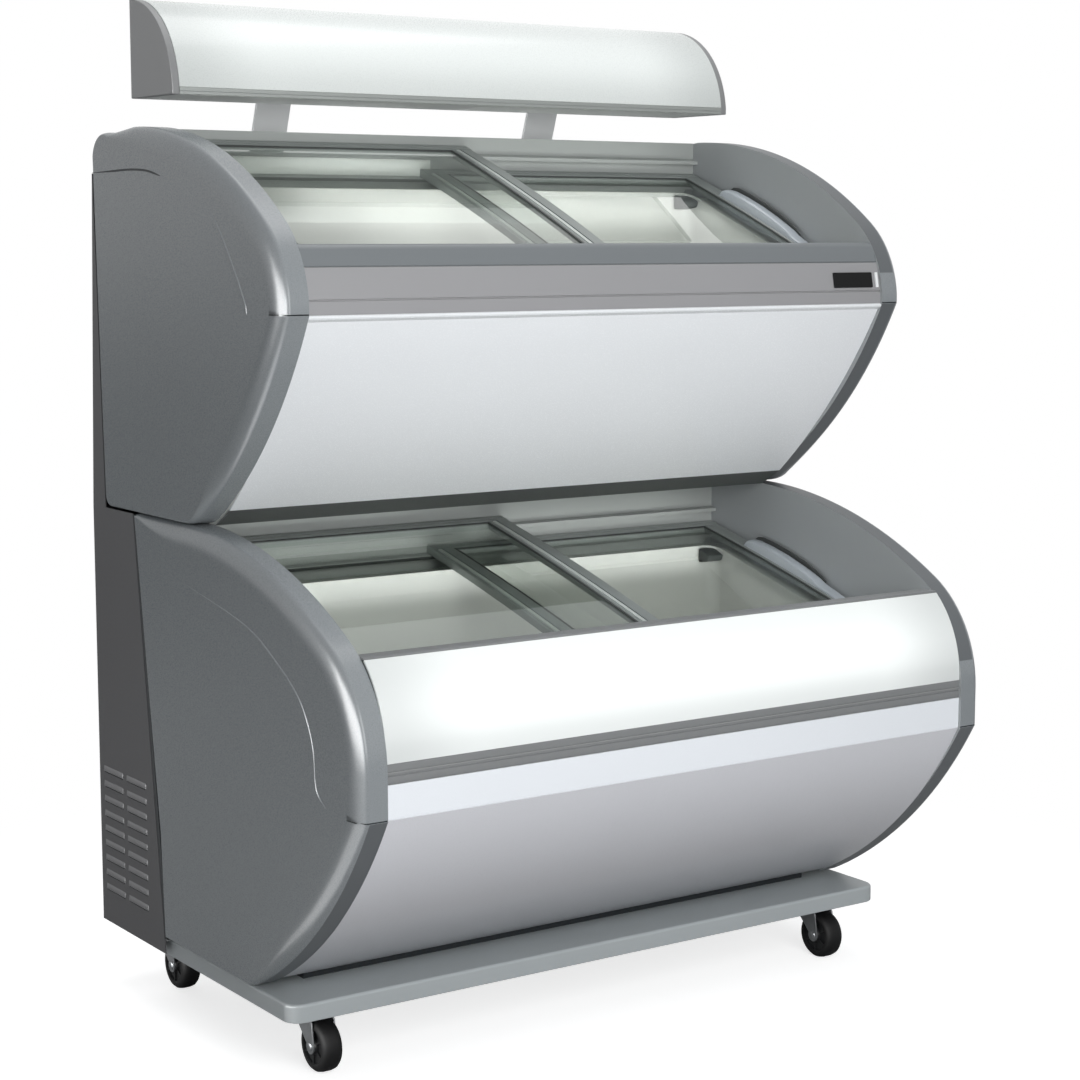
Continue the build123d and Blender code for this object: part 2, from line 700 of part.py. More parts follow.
def low_insulation():
    """Foam walls of the lower tub: front, floor, back, rear beam and two ends."""
    front_top = low_lid_bow.height(LOW_LID_FRONT[0]) - RIM_DROP
    back_top = low_lid_bow.height(LOW_TANK_BACK) - RIM_DROP
    beam_front = LOW_LID_REAR[0] + RAIL_GAP + RAIL_WALL
    slope = outline(
        panel_part(low_panel_bow, LOW_TANK_FLOOR, LOW_KINK),
        [(LOW_TANK_FRONT, LOW_KINK), (LOW_TANK_TOE, LOW_TANK_FLOOR)],
    )
    floor = outline(
        panel_part(low_panel_bow, BODY_FOOT, LOW_TANK_FLOOR),
        [(low_slant(LOW_TANK_FLOOR), LOW_TANK_FLOOR), (low_slant(BODY_FOOT), BODY_FOOT)],
    )
    back = corners(
        (LOW_TANK_BACK, LOW_TANK_FLOOR),
        (LOW_TANK_BACK, back_top),
        (low_slant(back_top), back_top),
        (low_slant(LOW_TANK_FLOOR), LOW_TANK_FLOOR),
    )
    beam = corners(
        (beam_front, back_top),
        (beam_front, DECK_SPLIT),
        (low_slant(DECK_SPLIT), DECK_SPLIT),
        (low_slant(back_top), back_top),
    )
    walls = [across(face, -HALF, HALF) for face in (slope, floor, back, beam)]
    walls.append(block((-HALF, HALF), (SIGN_BACK, LOW_TANK_FRONT), (LOW_KINK, front_top)))
    walls.append(across(low_tank_face(), -HALF, -TANK_HALF))
    walls.append(across(low_tank_face(), TANK_HALF, HALF))
    return walls


def liner(face):
    """A thin open-topped pan that lines a tank."""
    pan = across(face, -TANK_HALF, TANK_HALF)
    inner = offset(face, amount=-LINER)
    room = across(inner, LINER - TANK_HALF, TANK_HALF - LINER)
    mouth = across(inner.moved(Pos(0, RIM_DROP)), LINER - TANK_HALF, TANK_HALF - LINER)
    return pan - room - mouth


def up_tank_face():
    top_front = up_lid_bow.height(UP_TANK_FRONT)
    top_back = up_lid_bow.height(UP_TANK_BACK)
    return corners(
        (UP_TANK_TOE, UP_TANK_FLOOR),
        (UP_TANK_FRONT, UP_KINK),
        (UP_TANK_FRONT, top_front - RIM_DROP),
        (UP_TANK_BACK, top_back - RIM_DROP),
        (UP_TANK_BACK, UP_TANK_FLOOR),
    )


def up_insulation():
    """Foam walls of the upper tub: front, floor, back, rear beam and two ends."""
    front_top = up_lid_bow.height(UP_LID_FRONT[0]) - RIM_DROP
    back_top = up_lid_bow.height(UP_TANK_BACK) - RIM_DROP
    wall_front = UP_LID_FRONT[0] - RAIL_GAP - RAIL_WALL
    beam_front = UP_LID_REAR[0] + RAIL_GAP + RAIL_WALL
    slope = outline(
        panel_part(up_panel_bow, UP_TANK_FLOOR, UP_KINK),
        [(UP_TANK_FRONT, UP_KINK), (UP_TANK_TOE, UP_TANK_FLOOR)],
    )
    floor = outline(
        panel_part(up_panel_bow, UP_PANEL_FOOT_HEIGHT + UP_PANEL_LAP, UP_TANK_FLOOR),
        [(UP_TUB_BACK, UP_TANK_FLOOR), (UP_TUB_BACK, DECK_SPLIT)],
        [(UP_TUB_BACK, DECK_SPLIT), (UP_END_FOOT + UP_TUB_TOE_INSET, DECK_SPLIT)],
    )
    walls = [across(face, -HALF, HALF) for face in (slope, floor)]
    walls.append(block((-HALF, HALF), (UP_TANK_BACK, UP_TUB_BACK), (UP_TANK_FLOOR, back_top)))
    walls.append(block((-HALF, HALF), (beam_front, UP_TUB_BACK), (back_top, CAP_FOOT)))
    walls.append(block((-HALF, HALF), (wall_front, UP_TANK_FRONT), (UP_KINK, front_top)))
    walls.append(across(up_tank_face(), -HALF, -TANK_HALF))
    walls.append(across(up_tank_face(), TANK_HALF, HALF))
    return walls


def rail(bow, edge, sign, foot, top):
    """A wall beside the lids with one ledge under each of the two lids."""
    near = edge - sign * RAIL_GAP
    far = near - sign * RAIL_WALL
    tip = edge + sign * RAIL_LEDGE
    solids = [block((-HALF, HALF), (min(near, far), max(near, far)), (foot, top))]
    for level in (0, LID_STEP):
        ledge_top = level - LID_HEIGHT - TRACK_GAP
        face = strip(bow, ledge_top, ledge_top - RAIL_LEDGE_HEIGHT, min(near, tip), max(near, tip))
        solids.append(across(face, -HALF, HALF))
    return solids


def low_rails():
    front_top = low_lid_bow.height(LOW_LID_FRONT[0]) - RIM_DROP
    back_top = low_lid_bow.height(LOW_TANK_BACK) - RIM_DROP
    front = rail(low_lid_bow, LOW_LID_FRONT[0], 1, front_top, SIGN_TOP)
    return front + rail(low_lid_bow, LOW_LID_REAR[0], -1, back_top, DECK_SPLIT)


def up_rails():
    front_top = up_lid_bow.height(UP_LID_FRONT[0]) - RIM_DROP
    back_top = up_lid_bow.height(UP_TANK_BACK) - RIM_DROP
    front = rail(up_lid_bow, UP_LID_FRONT[0], 1, front_top, FASCIA_TOP)
    return front + rail(up_lid_bow, UP_LID_REAR[0], -1, back_top, CROWN_TOP)


def lid_spans(width):
    """X limits of the left and of the right lid of a deck."""
    edge = HALF - LID_SIDE_GAP
    return (-edge, width - edge), (edge - width, edge)


def lid_window(bow, span, side):
    """X and depth limits of a lid's clear window; side is -1 for the left lid."""
    ends = (LID_END, LID_BAR) if side < 0 else (LID_BAR, LID_END)
    x = (span[0] + ends[0], span[1] - ends[1])
    return x, (bow.start.X + LID_EDGE, bow.end.X - LID_EDGE)


def lid_frame(bow, level, span, side, grip_rear):
    """Front, rear and two end profiles, grooved for the glass, and a grip on the outer end."""
    x, depth = lid_window(bow, span, side)
    glass_top = level - GLASS_SINK
    glass_foot = glass_top - GLASS - FIT_GAP
    slot_face = strip(bow, glass_top, glass_foot, depth[0] - GLASS_LAND, depth[1] + GLASS_LAND)
    slot = across(slot_face, x[0] - GLASS_LAND, x[1] + GLASS_LAND)
    parts = []
    for low, high in ((bow.start.X, depth[0]), (depth[1], bow.end.X)):
        parts.append(across(strip(bow, level, level - LID_HEIGHT, low, high), *span) - slot)
    for low, high in ((span[0], x[0]), (x[1], span[1])):
        parts.append(across(strip(bow, level, level - LID_HEIGHT, *depth), low, high) - slot)
    parts.append(lid_grip(bow, level, span, side, grip_rear))
    return parts


def lid_grip(bow, level, span, side, rear):
    """A raised hump with a low tail in front of it."""
    shoulder = rear - GRIP_RAMP
    brow = shoulder - GRIP_FULL
    tip = brow - GRIP_TAIL
    face = outline(
        bow.between(tip, rear, level),
        [(rear, bow.height(rear) + level), (shoulder, bow.height(shoulder) + level + GRIP_HEIGHT)],
        bow.between(brow, shoulder, level + GRIP_HEIGHT)[::-1],
        bow.between(tip, brow, level + GRIP_TAIL_HEIGHT)[::-1],
    )
    outer = span[0] + GRIP_EDGE if side < 0 else span[1] - GRIP_EDGE - GRIP_WIDTH
    return across(face, outer, outer + GRIP_WIDTH)


def lid_glass(bow, level, span, side):
    x, depth = lid_window(bow, span, side)
    land = GLASS_LAND - FIT_GAP
    top = level - GLASS_SINK - FIT_GAP
    face = strip(bow, top, top - GLASS, depth[0] - land, depth[1] + land)
    return across(face, x[0] - land, x[1] + land)


def sign_housing():
    """Folded box behind the sign and the light band."""
    shelf = TRIM_TOP - SKIN
    wall = LOW_LID_FRONT[0] - RAIL_GAP - RAIL_WALL
    face = RIM_PROUD + BAND_SHEET
    plates = [
        block((-HALF, HALF), (SIGN_BACK - SKIN, SIGN_BACK), (LOW_KINK, SIGN_TOP)),
        block((-HALF, HALF), (face, SIGN_BACK - SKIN), (LOW_KINK, LOW_KINK + SKIN)),
        block((-HALF, HALF), (RIM_PROUD + TRIM_DEEP, SIGN_BACK - SKIN), (shelf, TRIM_TOP)),
        block((-HALF, HALF), (SIGN_SET_BACK + SKIN, wall), (SIGN_TOP, SIGN_TOP + SIGN_CAP)),
    ]
    return plates


def low_trim():
    """The grey moulding under the sign, with a groove between its two strips."""
    bar = block((-HALF, HALF), (RIM_PROUD, RIM_PROUD + TRIM_DEEP), (BAND_TOP, TRIM_TOP))
    middle = (BAND_TOP + TRIM_TOP) / 2
    groove = block((-HALF, HALF), (0, RIM_PROUD + GROOVE), (middle - GROOVE / 2, middle + GROOVE / 2))
    return bar - groove


def lamp(length, depth, z, mount_depth):
    """A light tube between two holders fixed to a wall behind it."""
    solids = [rod(LAMP_R, -length / 2, length / 2, depth, z)]
    for sign in (-1, 1):
        ends = sorted((sign * length / 2, sign * (length / 2 + LAMP_CAP)))
        solids.append(block(ends, (depth - LAMP_R, mount_depth), (z - LAMP_R, z + LAMP_R)))
    return solids


def fascia_part(low, high):
    """The solid rail cover between two heights, back to the lid rail."""
    back = UP_LID_FRONT[0] - RAIL_GAP - RAIL_WALL
    front = [(fascia_bow.depth(z), z) for z in (low, (low + high) / 2, high)]
    return across(outline(front, [(back, high), (back, low)]), -HALF, HALF)


def fascia():
    """The grey upper front, with a fine groove near its foot."""
    z = UP_KINK + FASCIA_GROOVE
    front = fascia_bow.depth(z)
    groove = block((-HALF, HALF), (front - 5, front + GROOVE), (z - GROOVE / 2, z + GROOVE / 2))
    return fascia_part(UP_KINK, FASCIA_TOP - FASCIA_TOP_BAND) - groove


def fascia_tilt(z):
    """A plane on the fascia at a height, its X along the freezer."""
    front = fascia_bow.depth(z)
    normal = Vector(0, front - fascia_bow.centre.X, z - fascia_bow.centre.Y).normalized()
    return Plane(origin=(0, y_of(front), z), x_dir=(1, 0, 0), z_dir=normal)


def badge_plate():
    """A blank plate on the fascia near its right end."""
    plane = fascia_tilt(UP_KINK + PLATE_RISE)
    x = HALF - PLATE_RIGHT - PLATE_WIDTH / 2
    plan = RectangleRounded(PLATE_WIDTH, PLATE_TALL, PLATE_CORNER_R)
    return plane * Pos(x, 0, 0) * extrude(plan, PLATE_THICK)


def pilot_lamp():
    """A small upright lens beside the plate."""
    plane = fascia_tilt(UP_KINK + PLATE_RISE)
    x = HALF - PLATE_RIGHT + PILOT_GAP
    plan = RectangleRounded(PILOT_WIDTH, PLATE_TALL, PILOT_CORNER_R)
    return plane * Pos(x, 0, 0) * extrude(plan, PLATE_THICK)


def crown():
    """The rear cap behind the upper rail, between the end panels."""
    front = UP_LID_REAR[0] + RAIL_GAP + RAIL_WALL
    face = corners(
        (front, CAP_FOOT),
        (front, CROWN_TOP),
        (front + CROWN_FLAT, CROWN_TOP - SKIN),
        (CROWN_BACK - CROWN_CORNER, CROWN_TOP - CROWN_FALL),
        (CROWN_BACK, CROWN_TOP - CROWN_FALL - CROWN_CORNER),
        (CROWN_BACK, CAP_FOOT),
    )
    return across(face, -HALF, HALF)


def column_side(sign):
    """Lower louvred sheet and upper plain sheet of one column side."""
    gap = SIDE_SHEET_GAP
    lean = (LOW_BACK_TOP - LOW_BACK_FOOT) / (DECK_SPLIT - END_FOOT)
    foot = LOW_BACK_FOOT + gap - (END_FOOT - COLUMN_FOOT) * lean
    lower = corners(
        (foot, COLUMN_FOOT),
        (LOW_BACK_TOP + gap, DECK_SPLIT),
        (DEPTH, DECK_SPLIT),
        (DEPTH, COLUMN_FOOT),
    )
    upper = corners(
        (up_back(DECK_SPLIT) + gap, DECK_SPLIT),
        (up_back(CAP_FOOT) + gap, CAP_FOOT),
        (COLUMN_HEAD, CAP_FOOT),
        (DEPTH, DECK_SPLIT),
    )
    low, high = sorted((sign * (COLUMN_HALF - COLUMN_SHEET), sign * COLUMN_HALF))
    through = (low - LOUVRE_END, high + LOUVRE_END)
    sheet_low = across(lower, low, high)
    for column in range(2):
        back = DEPTH - SIDE_LOUVRE_INSET - column * (SIDE_LOUVRE_LENGTH + SIDE_LOUVRE_GAP)
        for row in range(LOUVRE_ROWS):
            z = COLUMN_FOOT + SIDE_LOUVRE_RISE + row * LOUVRE_PITCH
            sheet_low -= block(through, (back - SIDE_LOUVRE_LENGTH, back), (z, z + LOUVRE_SLOT))
    return [sheet_low, across(upper, low, high)]


def column_back():
    """Upright back sheet, the sheet that leans forward above it, and the top sheet between the end panels."""
    inner = COLUMN_HALF - COLUMN_SHEET
    upright = block((-inner, inner), (DEPTH - COLUMN_SHEET, DEPTH), (WINDOW_TOP, DECK_SPLIT))
    leaning = corners(
        (DEPTH - COLUMN_SHEET, DECK_SPLIT),
        (COLUMN_HEAD - COLUMN_SHEET, CAP_FOOT),
        (COLUMN_HEAD, CAP_FOOT),
        (DEPTH, DECK_SPLIT),
    )
    top_depth = (UP_TUB_BACK, COLUMN_HEAD - COLUMN_SHEET)
    top = block((-HALF, HALF), top_depth, (CAP_FOOT - COLUMN_SHEET, CAP_FOOT))
    return [upright, across(leaning, -inner, inner), top]


def rear_grille():
    """Louvred service panel, with two plain sheets beside the controls above it."""
    inner = COLUMN_HALF - COLUMN_SHEET
    sheet_depth = (DEPTH - COLUMN_SHEET, DEPTH)
    panel = block((-inner, inner), sheet_depth, (COLUMN_FOOT, WINDOW_FOOT))
    through = (DEPTH - COLUMN_SHEET - LOUVRE_END, DEPTH + LOUVRE_END)
    banks = (
        (-REAR_LOUVRE_SPACING, REAR_SIDE_LOUVRE_LENGTH),
        (0, REAR_LOUVRE_LENGTH),
        (REAR_LOUVRE_SPACING, REAR_SIDE_LOUVRE_LENGTH),
    )
    for x, length in banks:
        for row in range(LOUVRE_ROWS - 1):
            z = COLUMN_FOOT + REAR_LOUVRE_RISE + row * LOUVRE_PITCH
            panel -= block((x - length / 2, x + length / 2), through, (z, z + LOUVRE_SLOT))
    edge = CONTROL_WIDTH / 2 - CONTROL_WALL
    left = block((-inner, CONTROL_X - edge), sheet_depth, (WINDOW_FOOT, WINDOW_TOP))
    right = block((CONTROL_X + edge, inner), sheet_depth, (WINDOW_FOOT, WINDOW_TOP))
    return [panel, left, right]


def machine_room():
    """Depth limits of the room for the machinery, and the middle between them."""
    front = low_slant(TRAY_TOP + CONDENSER_HEIGHT) + MACHINE_GAP
    back = DEPTH - COLUMN_SHEET - MACHINE_GAP
    return front, back, (front + back) / 2


def machine_tray():
    inner = COLUMN_HALF - COLUMN_SHEET
    front = low_slant(PLATFORM_TOP) + SIDE_SHEET_GAP
    return block((-inner, inner), (front, DEPTH - COLUMN_SHEET), (PLATFORM_TOP, TRAY_TOP))


def compressor():
    """Hermetic compressor on its foot plate and rubber feet, with a tube stub."""
    x = COMPRESSOR_X
    y = y_of(machine_room()[2])
    foot = TRAY_TOP + COMPRESSOR_FEET
    top = foot + COMPRESSOR_FOOT_PLATE + COMPRESSOR_HEIGHT
    shell = post(COMPRESSOR_R, x, y, foot + COMPRESSOR_FOOT_PLATE, top)
    shell = fillet(shell.edges().filter_by(GeomType.CIRCLE).sort_by(Axis.Z)[-1], COMPRESSOR_DOME)
    width = 2 * COMPRESSOR_R
    plate = Pos(x, y, foot + COMPRESSOR_FOOT_PLATE / 2) * Box(width, width, COMPRESSOR_FOOT_PLATE)
    body = shell + plate
    for dx in (-1, 1):
        for dy in (-1, 1):
            reach = COMPRESSOR_R - COMPRESSOR_FEET
            body += post(COMPRESSOR_FEET, x + dx * reach, y + dy * reach, TRAY_TOP, foot)
    return body


def condenser():
    """Finned block on the tray, close to the left louvres."""
    low = FAN_X - CONDENSER_SPACE - CONDENSER_THICK
    depth = machine_room()[:2]
    core_x = (low + CONDENSER_TUBE_INSET, low + CONDENSER_THICK - CONDENSER_TUBE_INSET)
    core = block(core_x, depth, (TRAY_TOP, TRAY_TOP + CONDENSER_HEIGHT))
    pitch = (depth[1] - depth[0] - CONDENSER_FIN) / (CONDENSER_FINS - 1)
    for row in range(CONDENSER_FINS):
        start = depth[0] + row * pitch
        core += block(
            (low, low + CONDENSER_THICK),
            (start, start + CONDENSER_FIN),
            (TRAY_TOP, TRAY_TOP + CONDENSER_HEIGHT),
        )
    return core


def fan_motor():
    """Motor with its shaft, in a saddle that stands on the tray."""
    z = TRAY_TOP + CONDENSER_HEIGHT / 2
    depth = machine_room()[2]
    back = FAN_X + FAN_HUB_LENGTH + FAN_MOTOR_GAP
    motor = rod(MOTOR_R, back, back + MOTOR_LENGTH, depth, z)
    motor += rod(FAN_SHAFT_R, FAN_X, back, depth, z)
    stand = block(
        (back + MOTOR_STAND, back + MOTOR_LENGTH - MOTOR_STAND),
        (depth - MOTOR_R, depth + MOTOR_R),
        (TRAY_TOP, z),
    )
    return motor + stand


def fan():
    """Hub with pitched blades, bored for the motor shaft."""
    z = TRAY_TOP + CONDENSER_HEIGHT / 2
    hub = Cylinder(FAN_HUB_R, FAN_HUB_LENGTH)
    for index in range(FAN_BLADES):
        reach = FAN_R - FAN_HUB_R + FAN_ROOT
        middle = Pos(FAN_HUB_R - FAN_ROOT + reach / 2, 0, 0)
        blade = middle * Rot(FAN_PITCH, 0, 0) * Box(reach, FAN_CHORD, FAN_SHEET)
        hub += Rot(0, 0, index * 360 / FAN_BLADES) * blade
    hub -= Cylinder(FAN_SHAFT_R + RUNNING_GAP, 4 * FAN_HUB_LENGTH)
    return Pos(FAN_X + FAN_HUB_LENGTH / 2, y_of(machine_room()[2]), z) * Rot(0, 90, 0) * hub


def control_box():
    """Recessed box behind the service panel: a bored floor and four rim walls."""
    half_width = CONTROL_WIDTH / 2
    back = DEPTH - COLUMN_SHEET
    floor = back - CONTROL_POCKET
    x = (CONTROL_X - half_width, CONTROL_X + half_width)
    foot = CONTROL_HEIGHT - CONTROL_TALL / 2
    head = CONTROL_HEIGHT + CONTROL_TALL / 2
    base = block(x, (back - CONTROL_DEEP, floor), (foot, head))
    base -= control_rod(KNOB_SHAFT_R + RUNNING_GAP, KNOB_X, floor - SHAFT_DEEP, floor + 1)
    base -= control_rod(BUTTON_R + RUNNING_GAP, BUTTON_X, floor - SHAFT_DEEP, floor + 1)
    walls = [
        block(x, (floor, back), (foot, WINDOW_FOOT)),
        block(x, (floor, back), (WINDOW_TOP, head)),
        block((x[0], x[0] + CONTROL_WALL), (floor, back), (WINDOW_FOOT, WINDOW_TOP)),
        block((x[1] - CONTROL_WALL, x[1]), (floor, back), (WINDOW_FOOT, WINDOW_TOP)),
    ]
    return [base] + walls


def control_rod(radius, x, low, high):
    """A round bar along Y at the height of the controls."""
    middle = Pos(CONTROL_X + x, y_of((low + high) / 2), CONTROL_HEIGHT)
    return middle * Rot(90, 0, 0) * Cylinder(radius, high - low)


def thermostat_knob():
    floor = DEPTH - COLUMN_SHEET - CONTROL_POCKET
    knob = control_rod(KNOB_R, KNOB_X, floor + KNOB_GAP, floor + KNOB_GAP + KNOB_LENGTH)
    pointer = Pos(CONTROL_X + KNOB_X, y_of(floor + KNOB_GAP + KNOB_LENGTH), CONTROL_HEIGHT + KNOB_R / 2)
    knob -= pointer * Box(GROOVE, GROOVE, KNOB_R)
    return knob + control_rod(KNOB_SHAFT_R, KNOB_X, floor + KNOB_GAP + 1 - SHAFT_DEEP, floor + KNOB_GAP + 1)


def light_button():
    floor = DEPTH - COLUMN_SHEET - CONTROL_POCKET
    return control_rod(BUTTON_R, BUTTON_X, floor - SHAFT_DEEP + BUTTON_TRAVEL, floor + BUTTON_PROUD)


def cable_gland():
    """Hexagonal gland with a domed nose, where the supply comes in."""
    floor = DEPTH - COLUMN_SHEET - CONTROL_POCKET
    x = CONTROL_X + GLAND_X
    turn = Rot(-90, 0, 0)
    nut = extrude(turn * RegularPolygon(GLAND_R, 6), GLAND_NUT)
    nose = extrude(turn * Circle(GLAND_NOSE_R), GLAND_NUT + GLAND_NOSE)
    return Pos(x, y_of(floor), CONTROL_HEIGHT) * (nut + nose)


def canopy_post(sign):
    """Flat bar: down the back of the crown, leaning forward, up the back of the canopy."""
    thick = POST_SHEET
    face = corners(
        (CROWN_BACK, POST_FOOT),
        (CROWN_BACK, POST_BEND),
        (CANOPY_BACK, POST_UPPER_BEND),
        (CANOPY_BACK, POST_HEAD),
        (CANOPY_BACK + thick, POST_HEAD),
        (CANOPY_BACK + thick, POST_UPPER_BEND + SKIN),
        (CROWN_BACK + thick, POST_BEND + SKIN),
        (CROWN_BACK + thick, POST_FOOT),
    )
    x = sign * POST_SPACING / 2
    return across(face, x - POST_WIDTH / 2, x + POST_WIDTH / 2)


def canopy_cap(sign):
    face = outline(
        canopy_bow.points(),
        [(CANOPY_BACK, CANOPY_FOOT), (CANOPY_FRONT, CANOPY_FOOT)],
    )
    ends = sorted((sign * (CANOPY_WIDTH / 2 - CANOPY_CAP), sign * CANOPY_WIDTH / 2))
    return across(face, *ends)


def canopy_housing():
    """Back sheet and bottom sheet of the canopy."""
    half = CANOPY_WIDTH / 2 - CANOPY_CAP
    back = block((-half, half), (CANOPY_BACK - CANOPY_SHEET, CANOPY_BACK), (CANOPY_FOOT, CANOPY_TOP))
    foot = block(
        (-half, half),
        (CANOPY_FRONT + CANOPY_SHEET, CANOPY_BACK - CANOPY_SHEET),
        (CANOPY_FOOT, CANOPY_FOOT + CANOPY_SHEET),
    )
    return [back, foot]


def canopy_strip():
    """Aluminium strip along the lower front edge of the canopy."""
    half = CANOPY_WIDTH / 2 - CANOPY_CAP
    return block(
        (-half, half),
        (CANOPY_FRONT, CANOPY_FRONT + CANOPY_SHEET),
        (CANOPY_FOOT, CANOPY_FOOT + CANOPY_LIP),
    )


def canopy_diffuser():
    half = CANOPY_WIDTH / 2 - CANOPY_CAP
    head = (CANOPY_BACK - CANOPY_SHEET, CANOPY_TOP)
    return sheet(Bow((CANOPY_FRONT, CANOPY_FOOT + CANOPY_LIP), head, CANOPY_BULGE), DIFFUSER_SHEET, half)


os.makedirs("parts", exist_ok=True)

save("base_platform", *base_platform())
save("plinth", plinth())
spots = list(caster_spots())
save("caster_plates", *[caster_plate(x, y) for name, x, y in spots])
for name, x, y in spots:
    save(f"caster_fork_{name}", caster_fork(x, y), caster_axle(x, y))
    save(f"caster_wheel_{name}", caster_wheel(x, y))

save("low_insulation", *low_insulation())
save("low_liner", liner(low_tank_face()))
save("low_front_panel", sheet(low_panel_bow, SKIN, HALF))
save("low_band", block((-HALF, HALF), (RIM_PROUD, RIM_PROUD + BAND_SHEET), (LOW_KINK, BAND_TOP)))
save("low_trim", low_trim())
save("sign_housing", *sign_housing())
save("sign_diffuser", sheet(sign_bow, DIFFUSER_SHEET, HALF))
lamp_depth = SIGN_BACK - SIGN_LAMP_BACK
lamp_height = TRIM_TOP + SIGN_LAMP_RISE
save("sign_lamp", *lamp(SIGN_LAMP_LENGTH, lamp_depth, lamp_height, SIGN_BACK - SKIN))
save("low_end_left", end_panel(low_end_face(), -1, low_is_flat))
save("low_end_right", end_panel(low_end_face(), 1, low_is_flat))
save("low_rails", *low_rails())

save("up_insulation", *up_insulation())
save("up_liner", liner(up_tank_face()))
save("up_front_panel", sheet(up_panel_bow, SKIN, HALF))
save("fascia", fascia())
save("fascia_top", fascia_part(FASCIA_TOP - FASCIA_TOP_BAND, FASCIA_TOP))
save("badge_plate", badge_plate())
save("pilot_lamp", pilot_lamp())
save("up_end_left", end_panel(up_end_face(), -1, up_is_flat))
save("up_end_right", end_panel(up_end_face(), 1, up_is_flat))
save("up_rails", *up_rails())
save("crown", crown())

decks = (
    ("low", low_lid_bow, LOW_LID_WIDTH, LOW_LID_REAR[0] - LOW_GRIP_INSET),
    ("up", up_lid_bow, UP_LID_WIDTH, UP_LID_REAR[0] - UP_GRIP_INSET),
)
for deck, bow, width, grip_rear in decks:
    left, right = lid_spans(width)
    save(f"{deck}_lid_left_frame", *lid_frame(bow, LID_STEP, left, -1, grip_rear))
    save(f"{deck}_lid_left_glass", lid_glass(bow, LID_STEP, left, -1))
    save(f"{deck}_lid_right_frame", *lid_frame(bow, 0, right, 1, grip_rear))
    save(f"{deck}_lid_right_glass", lid_glass(bow, 0, right, 1))

save("column_side_left", *column_side(-1))
save("column_side_right", *column_side(1))
save("column_back", *column_back())
save("rear_grille", *rear_grille())
save("machine_tray", machine_tray())
save("compressor", compressor())
save("condenser", condenser())
save("fan_motor", fan_motor())
save("fan", fan())
save("control_box", *control_box())
save("thermostat_knob", thermostat_knob())
save("light_button", light_button())
save("cable_gland", cable_gland())

save("canopy_posts", canopy_post(-1), canopy_post(1))
save("canopy_housing", *canopy_housing())
save("canopy_strip", canopy_strip())
save("canopy_diffuser", canopy_diffuser())
save("canopy_caps", canopy_cap(-1), canopy_cap(1))
lamp_depth = CANOPY_BACK - CANOPY_LAMP_INSET
lamp_height = CANOPY_FOOT + CANOPY_LAMP_RISE
save("canopy_lamp", *lamp(CANOPY_LAMP_LENGTH, lamp_depth, lamp_height, CANOPY_BACK - CANOPY_SHEET))
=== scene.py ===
"""A double-deck ice cream display freezer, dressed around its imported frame.

Each sub-assembly is a class that holds its sizes in millimetres. Depths are counted back from the
foremost line of the freezer, heights from the floor, and widths from the middle.
"""

import logging
import math
from dataclasses import dataclass
from enum import Enum
from typing import Any, Callable, Sequence

import bmesh
import bpy
from mathutils import Matrix, Vector


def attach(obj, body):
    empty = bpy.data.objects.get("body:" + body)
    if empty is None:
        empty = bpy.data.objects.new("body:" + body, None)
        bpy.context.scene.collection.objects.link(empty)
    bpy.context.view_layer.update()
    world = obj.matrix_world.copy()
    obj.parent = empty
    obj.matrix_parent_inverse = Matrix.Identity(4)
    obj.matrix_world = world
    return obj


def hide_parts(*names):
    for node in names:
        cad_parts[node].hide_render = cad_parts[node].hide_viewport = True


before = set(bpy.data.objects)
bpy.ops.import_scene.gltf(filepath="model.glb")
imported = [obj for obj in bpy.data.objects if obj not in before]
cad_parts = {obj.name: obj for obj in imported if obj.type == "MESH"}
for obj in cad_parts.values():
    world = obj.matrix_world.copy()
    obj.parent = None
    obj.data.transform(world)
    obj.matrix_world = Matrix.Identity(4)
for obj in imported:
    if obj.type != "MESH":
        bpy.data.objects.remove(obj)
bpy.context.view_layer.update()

logging.basicConfig(level=logging.INFO, format="%(message)s")
log = logging.getLogger("freezer")

Point = tuple[float, float]
Span = tuple[float, float]
Place = tuple[float, float, float]
Paint = int | Callable[[int, int], int]

# Sizes in millimetres. HALF is half the width between the end panels, and a kink is the level where a
# front bends back.
MM = 0.001
METRE = 1000.0
DEPTH = 862.0
HALF = 540.0
COLUMN_HALF = 584.0
FIT = 0.4
PANEL_FOOT = 131.0
BODY_FOOT = 140.0
LOW_KINK = 446.0
DECK_SPLIT = 803.0
UP_PANEL_FOOT = 805.0
UP_KINK = 1128.0
PLATFORM_TOP = 127.0
LID_STEP = 40.0
CROWN_BACK = 826.0
ORIGIN = Vector((0, 0, 0))

# How the shaders look: broad mottling, the part of the grain noise that is used, its strength and the
# roughness of a clear coat.
MOTTLE_SCALE = 3.0
GRAIN_RANGE = (0.3, 0.7)
GRAIN_STRENGTH = 0.6
COAT_ROUGHNESS = 0.12
SMOOTH = "SMOOTHSTEP"


class Side(Enum):
    """Left or right, as seen from the front."""

    LEFT = -1
    RIGHT = 1

    @property
    def word(self) -> str:
        """The side's name, as the nodes and bodies use it."""
        return self.name.lower()


class Axis(Enum):
    """The axis of a turned piece."""

    X = 0
    Y = 1
    Z = 2


class Deck(Enum):
    """The lower or the upper tub, by the word that its nodes and bodies use."""

    LOW = "low"
    UP = "up"


class Light(Enum):
    """Which rays a lamp is for."""

    BOTH = "both"
    DIFFUSE = "diffuse"
    GLOSSY = "glossy"


def at(x: float, depth: float, z: float) -> Vector:
    """Turns a place in millimetres into the frame's metres.

    Args:
        x: Millimetres across from the middle.
        depth: Millimetres back from the foremost line.
        z: Millimetres above the floor.

    Returns:
        The same place as a vector in metres.
    """
    return Vector((x * MM, (depth - DEPTH / 2) * MM, z * MM))


